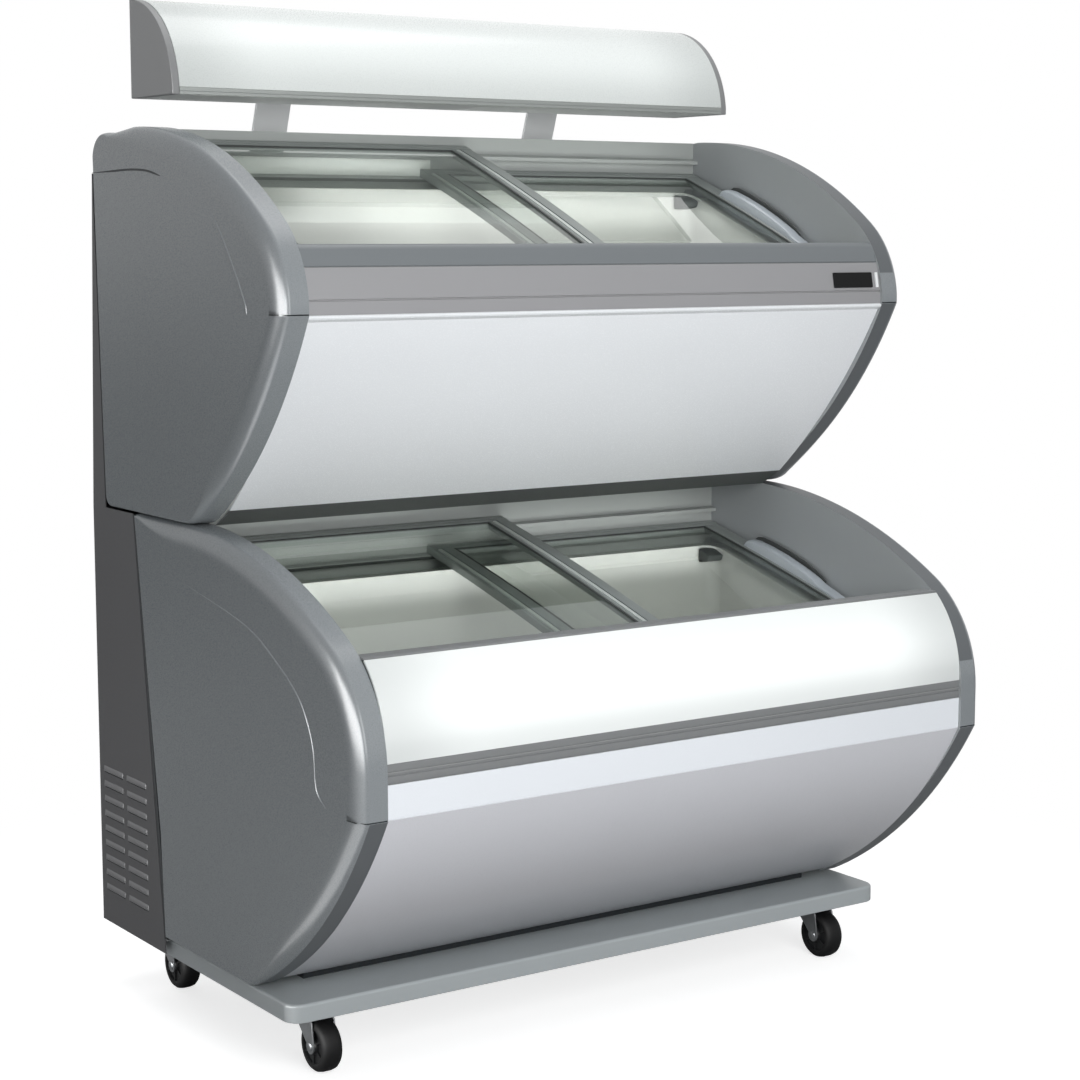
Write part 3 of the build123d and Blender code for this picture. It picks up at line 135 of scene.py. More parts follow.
@dataclass(frozen=True)
class Bow:
    """A circular arc in the depth-height plane that bulges to the left of its run."""

    start: Point
    end: Point
    bulge: float

    @property
    def outward(self) -> Vector:
        """The unit vector from the chord towards the arc."""
        run = Vector(self.end) - Vector(self.start)
        return Vector((-run.y, run.x)).normalized()

    @property
    def radius(self) -> float:
        """The arc's radius."""
        half = (Vector(self.end) - Vector(self.start)).length / 2
        return (half**2 + self.bulge**2) / (2 * self.bulge)

    @property
    def centre(self) -> Vector:
        """The arc's centre."""
        middle = (Vector(self.start) + Vector(self.end)) / 2
        return middle + self.outward * (self.bulge - self.radius)

    def height(self, depth: float) -> float:
        """The arc's upper height at a depth."""
        return self.centre.y + math.sqrt(self.radius**2 - (depth - self.centre.x) ** 2)

    def depth(self, height: float) -> float:
        """The arc's front depth at a height."""
        return self.centre.x - math.sqrt(self.radius**2 - (height - self.centre.y) ** 2)

    def points(self, count: int, inset: float = 0.0) -> list[Point]:
        """Points along the arc.

        Args:
            count: How many steps the arc is cut into.
            inset: How far inside the arc they lie.

        Returns:
            The count + 1 points from start to end.
        """
        centre = self.centre
        first = Vector(self.start) - centre
        last = Vector(self.end) - centre
        turn = first.angle_signed(last)
        share = (self.radius - inset) / self.radius
        made = []
        for step in range(count + 1):
            spoke = first * share
            spoke.rotate(Matrix.Rotation(-turn * step / count, 2))
            made.append((centre.x + spoke.x, centre.y + spoke.y))
        return made


def linear(colour: str) -> tuple[float, float, float, float]:
    """Turns an sRGB hex colour into linear values for a shader.

    Args:
        colour: Six hex digits after a hash.

    Returns:
        Linear red, green and blue, and an alpha of one.
    """
    parts = [int(colour[i : i + 2], 16) / 255 for i in (1, 3, 5)]
    made = [p / 12.92 if p <= 0.04045 else ((p + 0.055) / 1.055) ** 2.4 for p in parts]
    return (made[0], made[1], made[2], 1.0)


def add(
    tree: bpy.types.NodeTree, kind: str, links: dict[Any, Any] | None = None, **settings: Any
) -> bpy.types.Node:
    """Adds one node to a tree.

    Args:
        tree: The tree that gets the node.
        kind: The node's type.
        links: Input names or numbers, each with a value or an output to link.
        **settings: The node's own settings.

    Returns:
        The new node.
    """
    made = tree.nodes.new(kind)
    for name, value in settings.items():
        setattr(made, name, value)
    for key, value in (links or {}).items():
        if isinstance(value, bpy.types.NodeSocket):
            tree.links.new(value, made.inputs[key])
        else:
            made.inputs[key].default_value = value
    return made


@dataclass(frozen=True)
class Finish:
    """A surface: what it is made of, how it was made and what that gives the eye."""

    name: str
    colour: str
    roughness: float
    metallic: float = 0.0
    coat: float = 0.0
    grain_mm: float = 1.2
    grain_height_mm: float = 0.02
    stretch: Place = (1.0, 1.0, 1.0)
    shade: float = 0.05
    rough_spread: float = 0.06
    specular: float = 0.5

    def material(self) -> bpy.types.Material:
        """The finish as a material, made once.

        Returns:
            The material of this finish's name.
        """
        known = bpy.data.materials.get(self.name)
        if known:
            return known
        made = bpy.data.materials.new(self.name)
        made.use_nodes = True
        tree = made.node_tree
        tree.nodes.clear()
        add(tree, "ShaderNodeOutputMaterial", {"Surface": self.shader(tree)})
        made.diffuse_color = linear(self.colour)
        return made

    def shader(self, tree: bpy.types.NodeTree) -> bpy.types.NodeSocket:
        """Builds the surface shader: mottled colour, uneven gloss and a fine grain.

        Args:
            tree: The material's tree.

        Returns:
            The shader's output.
        """
        place = add(tree, "ShaderNodeTexCoord").outputs["Object"]
        broad = add(tree, "ShaderNodeTexNoise", {"Vector": place, "Scale": MOTTLE_SCALE, "Detail": 3.0})
        plain = linear(self.colour)[:3]
        dark = tuple(c * (1 - self.shade) for c in plain) + (1.0,)
        pale = tuple(min(1.0, c * (1 + self.shade)) for c in plain) + (1.0,)
        mottle = {"Factor": broad.outputs["Fac"], 6: dark, 7: pale}
        tint = add(tree, "ShaderNodeMix", mottle, data_type="RGBA").outputs[2]
        scaled = add(tree, "ShaderNodeMapping", {"Vector": place, "Scale": self.stretch}).outputs[0]
        grain = {"Vector": scaled, "Scale": METRE / self.grain_mm, "Detail": 2.0}
        fine = add(tree, "ShaderNodeTexNoise", grain).outputs["Fac"]
        gloss = {
            "Value": fine,
            "From Min": GRAIN_RANGE[0],
            "From Max": GRAIN_RANGE[1],
            "To Min": max(0.02, self.roughness - self.rough_spread / 2),
            "To Max": min(1.0, self.roughness + self.rough_spread / 2),
        }
        relief = {"Height": fine, "Strength": GRAIN_STRENGTH, "Distance": self.grain_height_mm * MM}
        look = {
            "Base Color": tint,
            "Metallic": self.metallic,
            "Roughness": add(tree, "ShaderNodeMapRange", gloss).outputs[0],
            "Normal": add(tree, "ShaderNodeBump", relief).outputs[0],
            "Specular IOR Level": self.specular,
            "Coat Weight": self.coat,
            "Coat Roughness": COAT_ROUGHNESS,
        }
        surface = add(tree, "ShaderNodeBsdfPrincipled", look)
        self.treat(tree, surface, tint)
        return surface.outputs[0]

    def treat(self, tree: bpy.types.NodeTree, surface: bpy.types.Node, tint: bpy.types.NodeSocket) -> None:
        """Gives the kind's own touch to the shader. A plain finish needs none."""


@dataclass(frozen=True)
class LitAcrylic(Finish):
    """Opal sheet with a tube behind it: bright in the middle and dimmer towards its ends."""

    glow: float = 0.5
    reach_mm: float = 540.0
    end_fall_mm: float = 170.0
    low_mm: float = 0.0
    high_mm: float = 1.0
    end_share: float = 0.35
    edge_share: float = 0.55

    def treat(self, tree: bpy.types.NodeTree, surface: bpy.types.Node, tint: bpy.types.NodeSocket) -> None:
        """Lets the sheet glow with a falloff along X and up its height.

        Args:
            tree: The material's tree.
            surface: The shader that glows.
            tint: The sheet's mottled colour, which the glow leaves as it is.
        """
        place = add(tree, "ShaderNodeTexCoord").outputs["Object"]
        parts = add(tree, "ShaderNodeSeparateXYZ", {0: place}).outputs
        middle, reach = (self.low_mm + self.high_mm) / 2, (self.high_mm - self.low_mm) / 2
        power: Any = self.glow
        for axis, centre, near, far, share in (
            ("X", 0.0, self.reach_mm - self.end_fall_mm, self.reach_mm, self.end_share),
            ("Z", middle, 0.0, reach, self.edge_share),
        ):
            off = add(tree, "ShaderNodeMath", {0: parts[axis], 1: centre * MM}, operation="SUBTRACT")
            away = add(tree, "ShaderNodeMath", {0: off.outputs[0]}, operation="ABSOLUTE").outputs[0]
            limits = {
                "Value": away, "From Min": near * MM, "From Max": far * MM, "To Min": 1.0, "To Max": share
            }
            fall = add(tree, "ShaderNodeMapRange", limits, interpolation_type=SMOOTH).outputs[0]
            power = add(tree, "ShaderNodeMath", {0: fall, 1: power}, operation="MULTIPLY").outputs[0]
        surface.inputs["Emission Color"].default_value = linear("#f8fbfa")
        tree.links.new(power, surface.inputs["Emission Strength"])


@dataclass(frozen=True)
class ShadedSheet(Finish):
    """Coated sheet with painted shade: darker towards its foot, where a front near the floor and a deep wall
    lie in shade.
    """

    low_mm: float = 0.0
    high_mm: float = 1.0
    low_share: float = 0.7

    def treat(self, tree: bpy.types.NodeTree, surface: bpy.types.Node, tint: bpy.types.NodeSocket) -> None:
        """Paints shade on the sheet, gently darker towards its foot.

        Args:
            tree: The material's tree.
            surface: The shader whose colour is darkened.
            tint: The sheet's mottled colour.
        """
        place = add(tree, "ShaderNodeTexCoord").outputs["Object"]
        limits = {
            "Value": add(tree, "ShaderNodeSeparateXYZ", {0: place}).outputs["Z"],
            "From Min": self.low_mm * MM,
            "From Max": self.high_mm * MM,
            "To Min": self.low_share,
            "To Max": 1.0,
        }
        rise = add(tree, "ShaderNodeMapRange", limits, interpolation_type=SMOOTH).outputs[0]
        shaded_tint = add(tree, "ShaderNodeVectorMath", {0: tint, "Scale": rise}, operation="SCALE")
        tree.links.new(shaded_tint.outputs[0], surface.inputs["Base Color"])


@dataclass(frozen=True)
class ClearGlass(Finish):
    """Tempered float glass: a faint green body tint and a mirror that grows at a low angle."""

    index: float = 1.45
    mirror_gain: float = 1.4

    def shader(self, tree: bpy.types.NodeTree) -> bpy.types.NodeSocket:
        """Mixes a tinted see-through sheet with a sharp reflection on its outer faces.

        Args:
            tree: The material's tree.

        Returns:
            The shader's output.
        """
        bare = add(tree, "ShaderNodeFresnel", {"IOR": self.index}).outputs[0]
        inside = add(tree, "ShaderNodeNewGeometry").outputs["Backfacing"]
        outside = add(tree, "ShaderNodeMath", {0: 1.0, 1: inside}, operation="SUBTRACT").outputs[0]
        gain = {0: bare, 1: self.mirror_gain}
        both = add(tree, "ShaderNodeMath", gain, operation="MULTIPLY", use_clamp=True).outputs[0]
        share = add(tree, "ShaderNodeMath", {0: both, 1: outside}, operation="MULTIPLY").outputs[0]
        clear = add(tree, "ShaderNodeBsdfTransparent", {"Color": linear(self.colour)}).outputs[0]
        gloss = {"Color": linear("#f4f6f5"), "Roughness": self.roughness}
        mirror = add(tree, "ShaderNodeBsdfGlossy", gloss).outputs[0]
        return add(tree, "ShaderNodeMixShader", {0: share, 1: clear, 2: mirror}).outputs[0]


# Injection-moulded ABS from a spark-eroded tool: a slate grey with a soft satin highlight on the shoulders.
# The darker, duller copy of the same plastic is painted shade on the flat band under the kink and on the
# right crest.
END_MOULDING = Finish("moulded_abs_slate", "#84898c", 0.28, grain_mm=1.0, grain_height_mm=0.012, shade=0.035)
END_PAINTED_SHADE = Finish(
    "moulded_abs_slate_painted_shade", "#5a5e61", 0.42, grain_mm=1.0, grain_height_mm=0.012, shade=0.035
)
# The same plastic in lighter greys, moulded smooth: an even, quiet surface with a dull sheen.
FASCIA_GREY = Finish("moulded_abs_mid_grey", "#949496", 0.42, grain_mm=0.9, shade=0.03)
FASCIA_DARK = Finish("moulded_abs_fascia_top", "#6f7477", 0.38, grain_mm=0.9, shade=0.03)
CROWN_GREY = Finish("extruded_pvc_crown_grey", "#999d9b", 0.40, grain_mm=0.9, shade=0.03)
INNER_GREY = Finish("moulded_abs_inner_grey", "#989c9e", 0.45, grain_mm=1.1, shade=0.05)
# Extruded PVC of lid frames and rails: a greenish grey with a dull sheen drawn out along X.
LID_FRAME = Finish(
    "extruded_pvc_lid_frame", "#868c8a", 0.35, grain_mm=0.6, stretch=(0.15, 1.0, 1.0), shade=0.04
)
# The pale strip in the lid's inner member is a painted highlight along the lids' overlap.
LID_STRIP = Finish("extruded_pvc_lid_strip", "#c3c9c6", 0.30, grain_mm=0.6, shade=0.03)
RAIL_PVC = Finish("extruded_pvc_rail", "#9a9e9c", 0.42, grain_mm=0.6, stretch=(0.1, 1.0, 1.0), shade=0.05)
# The white copy on the upper rear rail is painted light.
RAIL_PAINTED_LIGHT = Finish(
    "extruded_pvc_rail_painted_light", "#e2e5e2", 0.45, grain_mm=0.6, stretch=(0.1, 1.0, 1.0), shade=0.03
)
# Moulded ABS grips, a little bluer and glossier than the frames, and matt black EPDM seals. The same black is
# painted shade on the fins beside the grips, the blocks in the tanks' corners and the lip under the rear
# rail.
GRIP_ABS = Finish("moulded_abs_grip", "#aeb5bb", 0.30, grain_mm=0.8, shade=0.03)
SEAL_AND_PAINTED_SHADE = Finish("extruded_epdm_seal_and_painted_shade", "#2f3332", 0.62, grain_mm=0.5, shade=0.08)
# Powder coat over folded steel: orange peel about 2 mm across, dull.
DARK_STEEL = Finish(
    "powder_coated_steel_charcoal", "#4c4c4e", 0.48, grain_mm=2.2, grain_height_mm=0.03, specular=0.3
)
# The louvre hoods' paler copy of the same powder coat is painted light on their sloped tops.
HOOD_PAINTED_LIGHT = Finish("powder_coated_steel_hood", "#6c6c6e", 0.45, grain_mm=2.2)
PLATFORM_STEEL = Finish(
    "powder_coated_steel_grey", "#a6acae", 0.40, grain_mm=2.2, grain_height_mm=0.03, shade=0.06
)
WHITE_STEEL = Finish(
    "powder_coated_steel_white", "#dcdedd", 0.42, grain_mm=2.2, grain_height_mm=0.03, shade=0.03
)
# Polyester-coated steel fronts, roll coated and almost smooth, with a clear top coat.
# The silver front carries painted shade, darker towards its foot.
SILVER_PANEL = ShadedSheet(
    "coil_coated_steel_silver", "#dcdde2", 0.30, metallic=0.12, coat=0.25, grain_mm=0.8,
    grain_height_mm=0.006,
    shade=0.03, low_mm=BODY_FOOT, high_mm=440.0, low_share=0.72,
)
WHITE_PANEL = Finish(
    "coil_coated_steel_white", "#eceff2", 0.26, coat=0.35, grain_mm=1.4, grain_height_mm=0.006, shade=0.02
)
# Mouldings of the lower front: a glossy white ABS band, and a grey PVC trim with a paler rib, drawn along X.
LIGHT_BAND = Finish("moulded_abs_band_white", "#e9edf2", 0.28, coat=0.3, grain_mm=1.0, shade=0.02)
TRIM_GREY = Finish(
    "extruded_pvc_trim_grey", "#7c7e7f", 0.40, grain_mm=0.7, stretch=(0.1, 1.0, 1.0), shade=0.04
)
TRIM_RIB = Finish("extruded_pvc_trim_rib", "#a5a7a7", 0.40, grain_mm=0.7, stretch=(0.1, 1.0, 1.0), shade=0.04)
# Opal PMMA sheet, thermoformed, with a fluorescent tube behind: an even glow that fades at ends and edges.
SIGN_ACRYLIC = LitAcrylic(
    "opal_acrylic_sign", "#cbcfce", 0.22, coat=0.2, grain_mm=1.5, grain_height_mm=0.004, shade=0.01, glow=0.5,
    reach_mm=HALF, low_mm=525.0, high_mm=661.0,
)
CANOPY_ACRYLIC = LitAcrylic(
    "opal_acrylic_canopy", "#c6cbc9", 0.28, coat=0.1, grain_mm=1.5, grain_height_mm=0.004, shade=0.01,
    glow=0.34,
    reach_mm=530.0, low_mm=1466.0, high_mm=1608.0,
)
CAP_GREY = Finish("moulded_abs_cap_grey", "#88898a", 0.44, grain_mm=1.0, shade=0.04)
# Anodised aluminium: a soft grey metal whose grain runs along the drawn strip, or up the flat bar.
ALUMINIUM = Finish(
    "anodised_aluminium", "#9da19f", 0.42, metallic=0.3, grain_mm=0.7, grain_height_mm=0.006,
    stretch=(0.08, 1.0, 1.0),
)
# The flat bars' far paler copy is painted light, lifting the posts out of the canopy's shade.
POST_ALUMINIUM = Finish(
    "anodised_aluminium_flat_bar", "#e0e1e2", 0.45, metallic=0.05, grain_mm=0.7, grain_height_mm=0.006,
    stretch=(1.0, 1.0, 0.1),
)
# Zinc plate on pressed steel: a bright metal whose gloss and colour change in blotches.
ZINC_STEEL = Finish(
    "zinc_plated_pressed_steel", "#8f9193", 0.36, metallic=0.75, grain_mm=1.6, shade=0.12, rough_spread=0.15
)
# Painted aluminium sheet of the tanks: off-white and smooth, pale green-grey through the glass. The upper
# one has painted shade, darker lower down under the rail. The rim over the foam is vacuum-formed plastic of
# the same colour.
TANK_LINER = Finish("painted_aluminium_liner", "#c6c7c4", 0.36, grain_mm=2.4)
UP_TANK_LINER = ShadedSheet(
    "painted_aluminium_liner_upper", "#cecfcc", 0.36, grain_mm=2.4, low_mm=1236.0, high_mm=1276.0,
    low_share=0.85
)
TANK_RIM = Finish("vacuum_formed_rim", "#c4c7c3", 0.40, grain_mm=1.4, shade=0.04)
LID_GLASS = ClearGlass("tempered_float_glass", "#f2f4f2", 0.02)
# Casters: dull black moulded rubber on a slightly glossier nylon hub.
TYRE = Finish(
    "moulded_rubber_tread", "#101011", 0.60, grain_mm=0.8, grain_height_mm=0.03, shade=0.10, specular=0.2
)
HUB = Finish("moulded_nylon_hub", "#1c1d1f", 0.45, grain_mm=0.8, shade=0.06, specular=0.3)
# The plate and its lens in the fascia: matt black acrylic, and clear polycarbonate that catches the light.
BLACK_PLATE = Finish("matt_black_acrylic", "#0e0f10", 0.5, grain_mm=1.5, grain_height_mm=0.002, specular=0.15)
LENS = Finish("clear_polycarbonate_lens", "#f0f3f4", 0.15, coat=0.5, grain_mm=1.0, grain_height_mm=0.003)
# Machinery and controls: stoved enamel with a fine orange peel, and moulded nylon and ABS.
BLACK_ENAMEL = Finish(
    "stoved_black_enamel", "#17181a", 0.36, grain_mm=1.8, grain_height_mm=0.03, shade=0.10
)
FAN_NYLON = Finish("moulded_nylon_fan", "#2b2c2e", 0.50, grain_mm=1.0, shade=0.06)
CONTROL_ABS = Finish("moulded_abs_control_box", "#33363a", 0.50, grain_mm=1.0)
KNOB_ABS = Finish("moulded_abs_knob", "#141517", 0.36, grain_mm=0.8, shade=0.06)
BUTTON_WHITE = Finish("moulded_abs_button", "#e4e4df", 0.30, coat=0.2, grain_mm=0.8, shade=0.03)
# Glass tube coated inside with phosphor: an even, milky white.
TUBE_WHITE = Finish("phosphor_coated_tube", "#f4f4f0", 0.20, grain_mm=1.0, grain_height_mm=0.002, shade=0.02)
# What closes gaps: soft black rubber with no sheen, which is also painted shadow in the end panels' grooves
# and seam and on the plinth under the body. The matt grey is painted shade on the steel that faces down.
SHADOW_GAP = Finish("rubber_seal_black_and_painted_shadow", "#24282b", 0.70, grain_mm=1.0, specular=0.2)
UNDERSIDE_PAINTED_SHADE = Finish("steel_underside_painted_shade", "#4e5251", 0.60, grain_mm=2.0, shade=0.06)


class Former:
    """Gathers the faces of one piece and turns them into a finished object."""

    def __init__(self, name: str, *finishes: Finish) -> None:
        """Starts an empty piece.

        Args:
            name: The piece's name.
            *finishes: Its finishes, in the order that faces name them.
        """
        self.name = name
        self.finishes = finishes
        self.mesh = bmesh.new()

    def face(self, corners: Sequence[bmesh.types.BMVert], paint: int) -> None:
        """Adds one face, unless its corners fall together.

        Args:
            corners: Its corners in order, some of which may be the same.
            paint: The finish's number.
        """
        seen: list[bmesh.types.BMVert] = []
        for corner in corners:
            if corner not in seen:
                seen.append(corner)
        if len(seen) > 2:
            made = self.mesh.faces.get(seen) or self.mesh.faces.new(seen)
            made.material_index = paint

    def loft(
        self,
        rings: Sequence[Sequence[Vector]],
        paint: Paint = 0,
        caps: bool = True,
        closed: bool = True,
    ) -> None:
        """Joins rings of points into a skin.

        Args:
            rings: Rings with the same number of points.
            paint: The finish's number, or a function of ring and point that gives it.
            caps: Whether the first and last rings are filled.
            closed: Whether each ring runs round to its start.
        """
        made = [[self.mesh.verts.new(point) for point in ring] for ring in rings]
        count = len(made[0])
        pick = paint if callable(paint) else lambda ring, point: paint
        for ring, (one, two) in enumerate(zip(made, made[1:])):
            for point in range(count if closed else count - 1):
                after = (point + 1) % count
                self.face((one[point], one[after], two[after], two[point]), pick(ring, point))
        if caps:
            self.face(made[0][::-1], pick(0, 0))
            self.face(made[-1], pick(len(made) - 2, 0))

    def prism(self, profile: Sequence[Point], x: Span, paint: Paint = 0) -> None:
        """Extrudes a closed depth-height profile along X."""
        self.loft([[at(side, *point) for point in profile] for side in x], paint)

    def box(self, x: Span, depth: Span, z: Span, paint: int = 0) -> None:
        """Adds a box between three pairs of limits."""
        profile = [(depth[0], z[0]), (depth[1], z[0]), (depth[1], z[1]), (depth[0], z[1])]
        self.prism(profile, x, paint)

    def turned(
        self, profile: Sequence[Point], centre: Vector, axis: Axis, sides: int = 40, paint: int = 0
    ) -> None:
        """Turns a profile round an axis.

        Args:
            profile: Pairs of radius and place along the axis, in millimetres.
            centre: The axis's zero, in metres.
            axis: The axis's direction.
            sides: How many steps make the round.
            paint: The finish's number.
        """
        rings = []
        for radius, along in profile:
            ring = []
            for step in range(sides):
                turn = math.tau * step / sides
                flat = (radius * math.cos(turn) * MM, radius * math.sin(turn) * MM)
                spot = {
                    Axis.X: (along * MM, flat[0], flat[1]),
                    Axis.Y: (flat[1], along * MM, flat[0]),
                    Axis.Z: (flat[0], flat[1], along * MM),
                }[axis]
                ring.append(centre + Vector(spot))
            rings.append(ring)
        self.loft(rings, paint, caps=profile[0] != profile[-1])

    def object(
        self,
        bevel: float = 0.0,
        segments: int = 2,
        bevel_from: float = 40.0,
        smooth_to: float = 38.0,
        thickness: float = 0.0,
        outward: bool = True,
    ) -> bpy.types.Object:
        """Turns what was gathered into an object at the origin.

        Args:
            bevel: Edge rounding in millimetres.
            segments: Steps in each rounding.
            bevel_from: Edges that turn by more than this, in degrees, are rounded.
            smooth_to: Edges that turn by less than this, in degrees, shade smoothly.
            thickness: Wall given to an open skin, in millimetres.
            outward: Whether the faces are turned to point outwards.

        Returns:
            The object, linked to the scene.
        """
        work = self.mesh
        bmesh.ops.remove_doubles(work, verts=work.verts, dist=0.00002)
        if outward:
            bmesh.ops.recalc_face_normals(work, faces=work.faces)
        if bevel:
            limit = math.radians(bevel_from)
            inner = [edge for edge in work.edges if len(edge.link_faces) == 2]
            sharp = [edge for edge in inner if edge.calc_face_angle(0.0) > limit]
            size = {"offset": bevel * MM, "segments": segments, "profile": 0.5}
            bmesh.ops.bevel(work, geom=sharp, affect="EDGES", clamp_overlap=True, **size)
        data = bpy.data.meshes.new(self.name)
        work.to_mesh(data)
        work.free()
        for finish in self.finishes:
            data.materials.append(finish.material())
        data.polygons.foreach_set("use_smooth", [True] * len(data.polygons))
        data.set_sharp_from_angle(angle=math.radians(smooth_to))
        made = bpy.data.objects.new(self.name, data)
        bpy.context.scene.collection.objects.link(made)
        if thickness:
            wall = made.modifiers.new("wall", "SOLIDIFY")
            wall.thickness = thickness * MM
            wall.offset = 1.0
        weigh = made.modifiers.new("even_shading", "WEIGHTED_NORMAL")
        weigh.keep_sharp = True
        return made


def settle(
    piece: bpy.types.Object, body: str = "cabinet", replaces: Sequence[str] = ()
) -> bpy.types.Object:
    """Puts a piece on its body, hides the CAD nodes that it stands for and logs it.

    Args:
        piece: The finished object.
        body: The body it rides on.
        replaces: The CAD nodes that it stands for.

    Returns:
        The same piece.
    """
    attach(piece, body)
    if replaces:
        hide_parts(*replaces)
    log.info("%s rides on %s, %d faces", piece.name, body, len(piece.data.polygons))
    return piece


def dress(finish: Finish, *nodes: str) -> None:
    """Gives a finished material to CAD nodes that keep their shape.

    Args:
        finish: Their finish.
        *nodes: The nodes' names.
    """
    for node in nodes:
        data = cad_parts[node].data
        data.materials.clear()
        data.materials.append(finish.material())
        log.info("%s keeps its shape, in %s", node, finish.name)


def extruded(
    name: str,
    finishes: Sequence[Finish],
    profile: Sequence[Point],
    slot: str,
    node: str | None = None,
    half: float = HALF - FIT,
    paint: Paint = 0,
    **rounding: float,
) -> None:
    """Makes a piece of one profile drawn out along X, and settles it on the cabinet.

    Args:
        name: The piece's name.
        finishes: Its finishes, in the order that faces name them.
        profile: Its closed depth-height outline.
        slot: Not used.
        node: The CAD node that it stands for.
        half: Half its length.
        paint: The finish's number, or a function of ring and point that gives it.
        **rounding: How Former.object rounds and shades it.
    """
    former = Former(name, *finishes)
    former.prism(profile, (-half, half), paint)
    settle(former.object(**rounding), replaces=[node] if node else ())


class Pattern:
    """Geometry Nodes that set copies of a template out. Each kind says where they go."""

    NAME: str
    SOCKETS: dict[str, str]

    @classmethod
    def copies(cls, tree: bpy.types.NodeTree, given: Any) -> bpy.types.NodeSocket:
        """Adds the nodes that place the copies, as instances."""
        raise NotImplementedError

    @classmethod
    def tree(cls) -> bpy.types.NodeTree:
        """Builds the node tree once.

        Returns:
            The tree, whose inputs are named for what they set.
        """
        known = bpy.data.node_groups.get(cls.NAME)
        if known:
            return known
        tree = bpy.data.node_groups.new(cls.NAME, "GeometryNodeTree")
        for name, kind in {"Geometry": "Geometry", **cls.SOCKETS, "Material": "Material"}.items():
            tree.interface.new_socket(name, in_out="INPUT", socket_type="NodeSocket" + kind)
        tree.interface.new_socket("Geometry", in_out="OUTPUT", socket_type="NodeSocketGeometry")
        given = add(tree, "NodeGroupInput").outputs
        whole = add(tree, "GeometryNodeRealizeInstances", {0: cls.copies(tree, given)}).outputs[0]
        painted = add(tree, "GeometryNodeSetMaterial", {"Geometry": whole, "Material": given["Material"]})
        add(tree, "NodeGroupOutput", {0: painted.outputs[0]})
        return tree

    @classmethod
    def spread(cls, template: bpy.types.Object, finish: Finish, inputs: dict[str, Any]) -> bpy.types.Object:
        """Runs the tree on a template and keeps the result as a plain mesh.

        Args:
            template: The object whose mesh is repeated.
            finish: The finish of the copies.
            inputs: The tree's other inputs by name.

        Returns:
            The template's object, now with the whole pattern as its mesh.
        """
        template.modifiers.clear()
        run = template.modifiers.new("pattern", "NODES")
        run.node_group = cls.tree()
        items = run.node_group.interface.items_tree
        sockets = {item.name: item.identifier for item in items if item.in_out == "INPUT"}
        for name, value in {**inputs, "Material": finish.material()}.items():
            run[sockets[name]] = tuple(value) if isinstance(value, Vector) else value
        graph = bpy.context.evaluated_depsgraph_get()
        whole = bpy.data.meshes.new_from_object(template.evaluated_get(graph))
        template.modifiers.remove(run)
        template.data = whole
        whole.polygons.foreach_set("use_smooth", [True] * len(whole.polygons))
        whole.set_sharp_from_angle(angle=math.radians(38))
        return template


class Rows(Pattern):
    """Copies in rows and columns."""

    NAME = "rows_and_columns"
    SOCKETS = {
        "Columns": "Int", "Rows": "Int", "Start": "Vector", "Column Step": "Vector", "Row Step": "Vector"
    }

    @classmethod
    def copies(cls, tree: bpy.types.NodeTree, given: Any) -> bpy.types.NodeSocket:
        """Sets a line of points out along another line, and a copy on each point.

        Args:
            tree: The tree that gets the nodes.
            given: The tree's inputs.

        Returns:
            The copies, as instances.
        """
        row = {"Count": given["Rows"], "Start Location": given["Start"], "Offset": given["Row Step"]}
        rows = add(tree, "GeometryNodeMeshLine", row).outputs[0]
        column = {"Count": given["Columns"], "Offset": given["Column Step"]}
        columns = add(tree, "GeometryNodeMeshLine", column).outputs[0]
        grid = add(tree, "GeometryNodeInstanceOnPoints", {"Points": rows, "Instance": columns}).outputs[0]
        spots = add(tree, "GeometryNodeRealizeInstances", {0: grid}).outputs[0]
        placed = {"Points": spots, "Instance": given["Geometry"]}
        return add(tree, "GeometryNodeInstanceOnPoints", placed).outputs[0]


class Ring(Pattern):
    """Copies turned round an axis."""

    NAME = "copies_round_an_axis"
    SOCKETS = {"Count": "Int", "Centre": "Vector", "Turn Each": "Vector"}

    @classmethod
    def copies(cls, tree: bpy.types.NodeTree, given: Any) -> bpy.types.NodeSocket:
        """Stacks the copies in one place and turns each a step further.

        Args:
            tree: The tree that gets the nodes.
            given: The tree's inputs.

        Returns:
            The copies, as instances.
        """
        spots = add(tree, "GeometryNodePoints", {"Count": given["Count"]}).outputs[0]
        stack = add(tree, "GeometryNodeInstanceOnPoints", {"Points": spots, "Instance": given["Geometry"]})
        index = add(tree, "GeometryNodeInputIndex").outputs[0]
        turn = add(tree, "ShaderNodeVectorMath", {0: given["Turn Each"], "Scale": index}, operation="SCALE")
        turned = {
            "Instances": stack.outputs[0],
            "Rotation": turn.outputs[0],
            "Pivot Point": given["Centre"],
            "Local Space": False,
        }
        return add(tree, "GeometryNodeRotateInstances", turned).outputs[0]


def inward_normals(ring: Sequence[Point]) -> list[Vector]:
    """The inward direction at each point of a closed outline.

    Args:
        ring: The outline, clockwise with depth to the right and height up.

    Returns:
        One vector for each point, longer where the outline turns.
    """
    made = []
    count = len(ring)
    for index, point in enumerate(ring):
        before = Vector(point) - Vector(ring[index - 1])
        after = Vector(ring[(index + 1) % count]) - Vector(point)
        normals = [Vector((run.y, -run.x)).normalized() for run in (before, after)]
        middle = (normals[0] + normals[1]).normalized()
        made.append(middle / max(0.75, middle.dot(normals[0])))
    return made


def groove_points(depth: float, level: float) -> list[Point]:
    """The points of a fine groove just above a kink.

    Args:
        depth: The outline's depth there.
        level: The kink's height.

    Returns:
        The points from the kink upwards.
    """
    return [(depth, level + rise) for rise in (0.0, 0.4, 0.6, 1.5, 2.4, 2.6)]


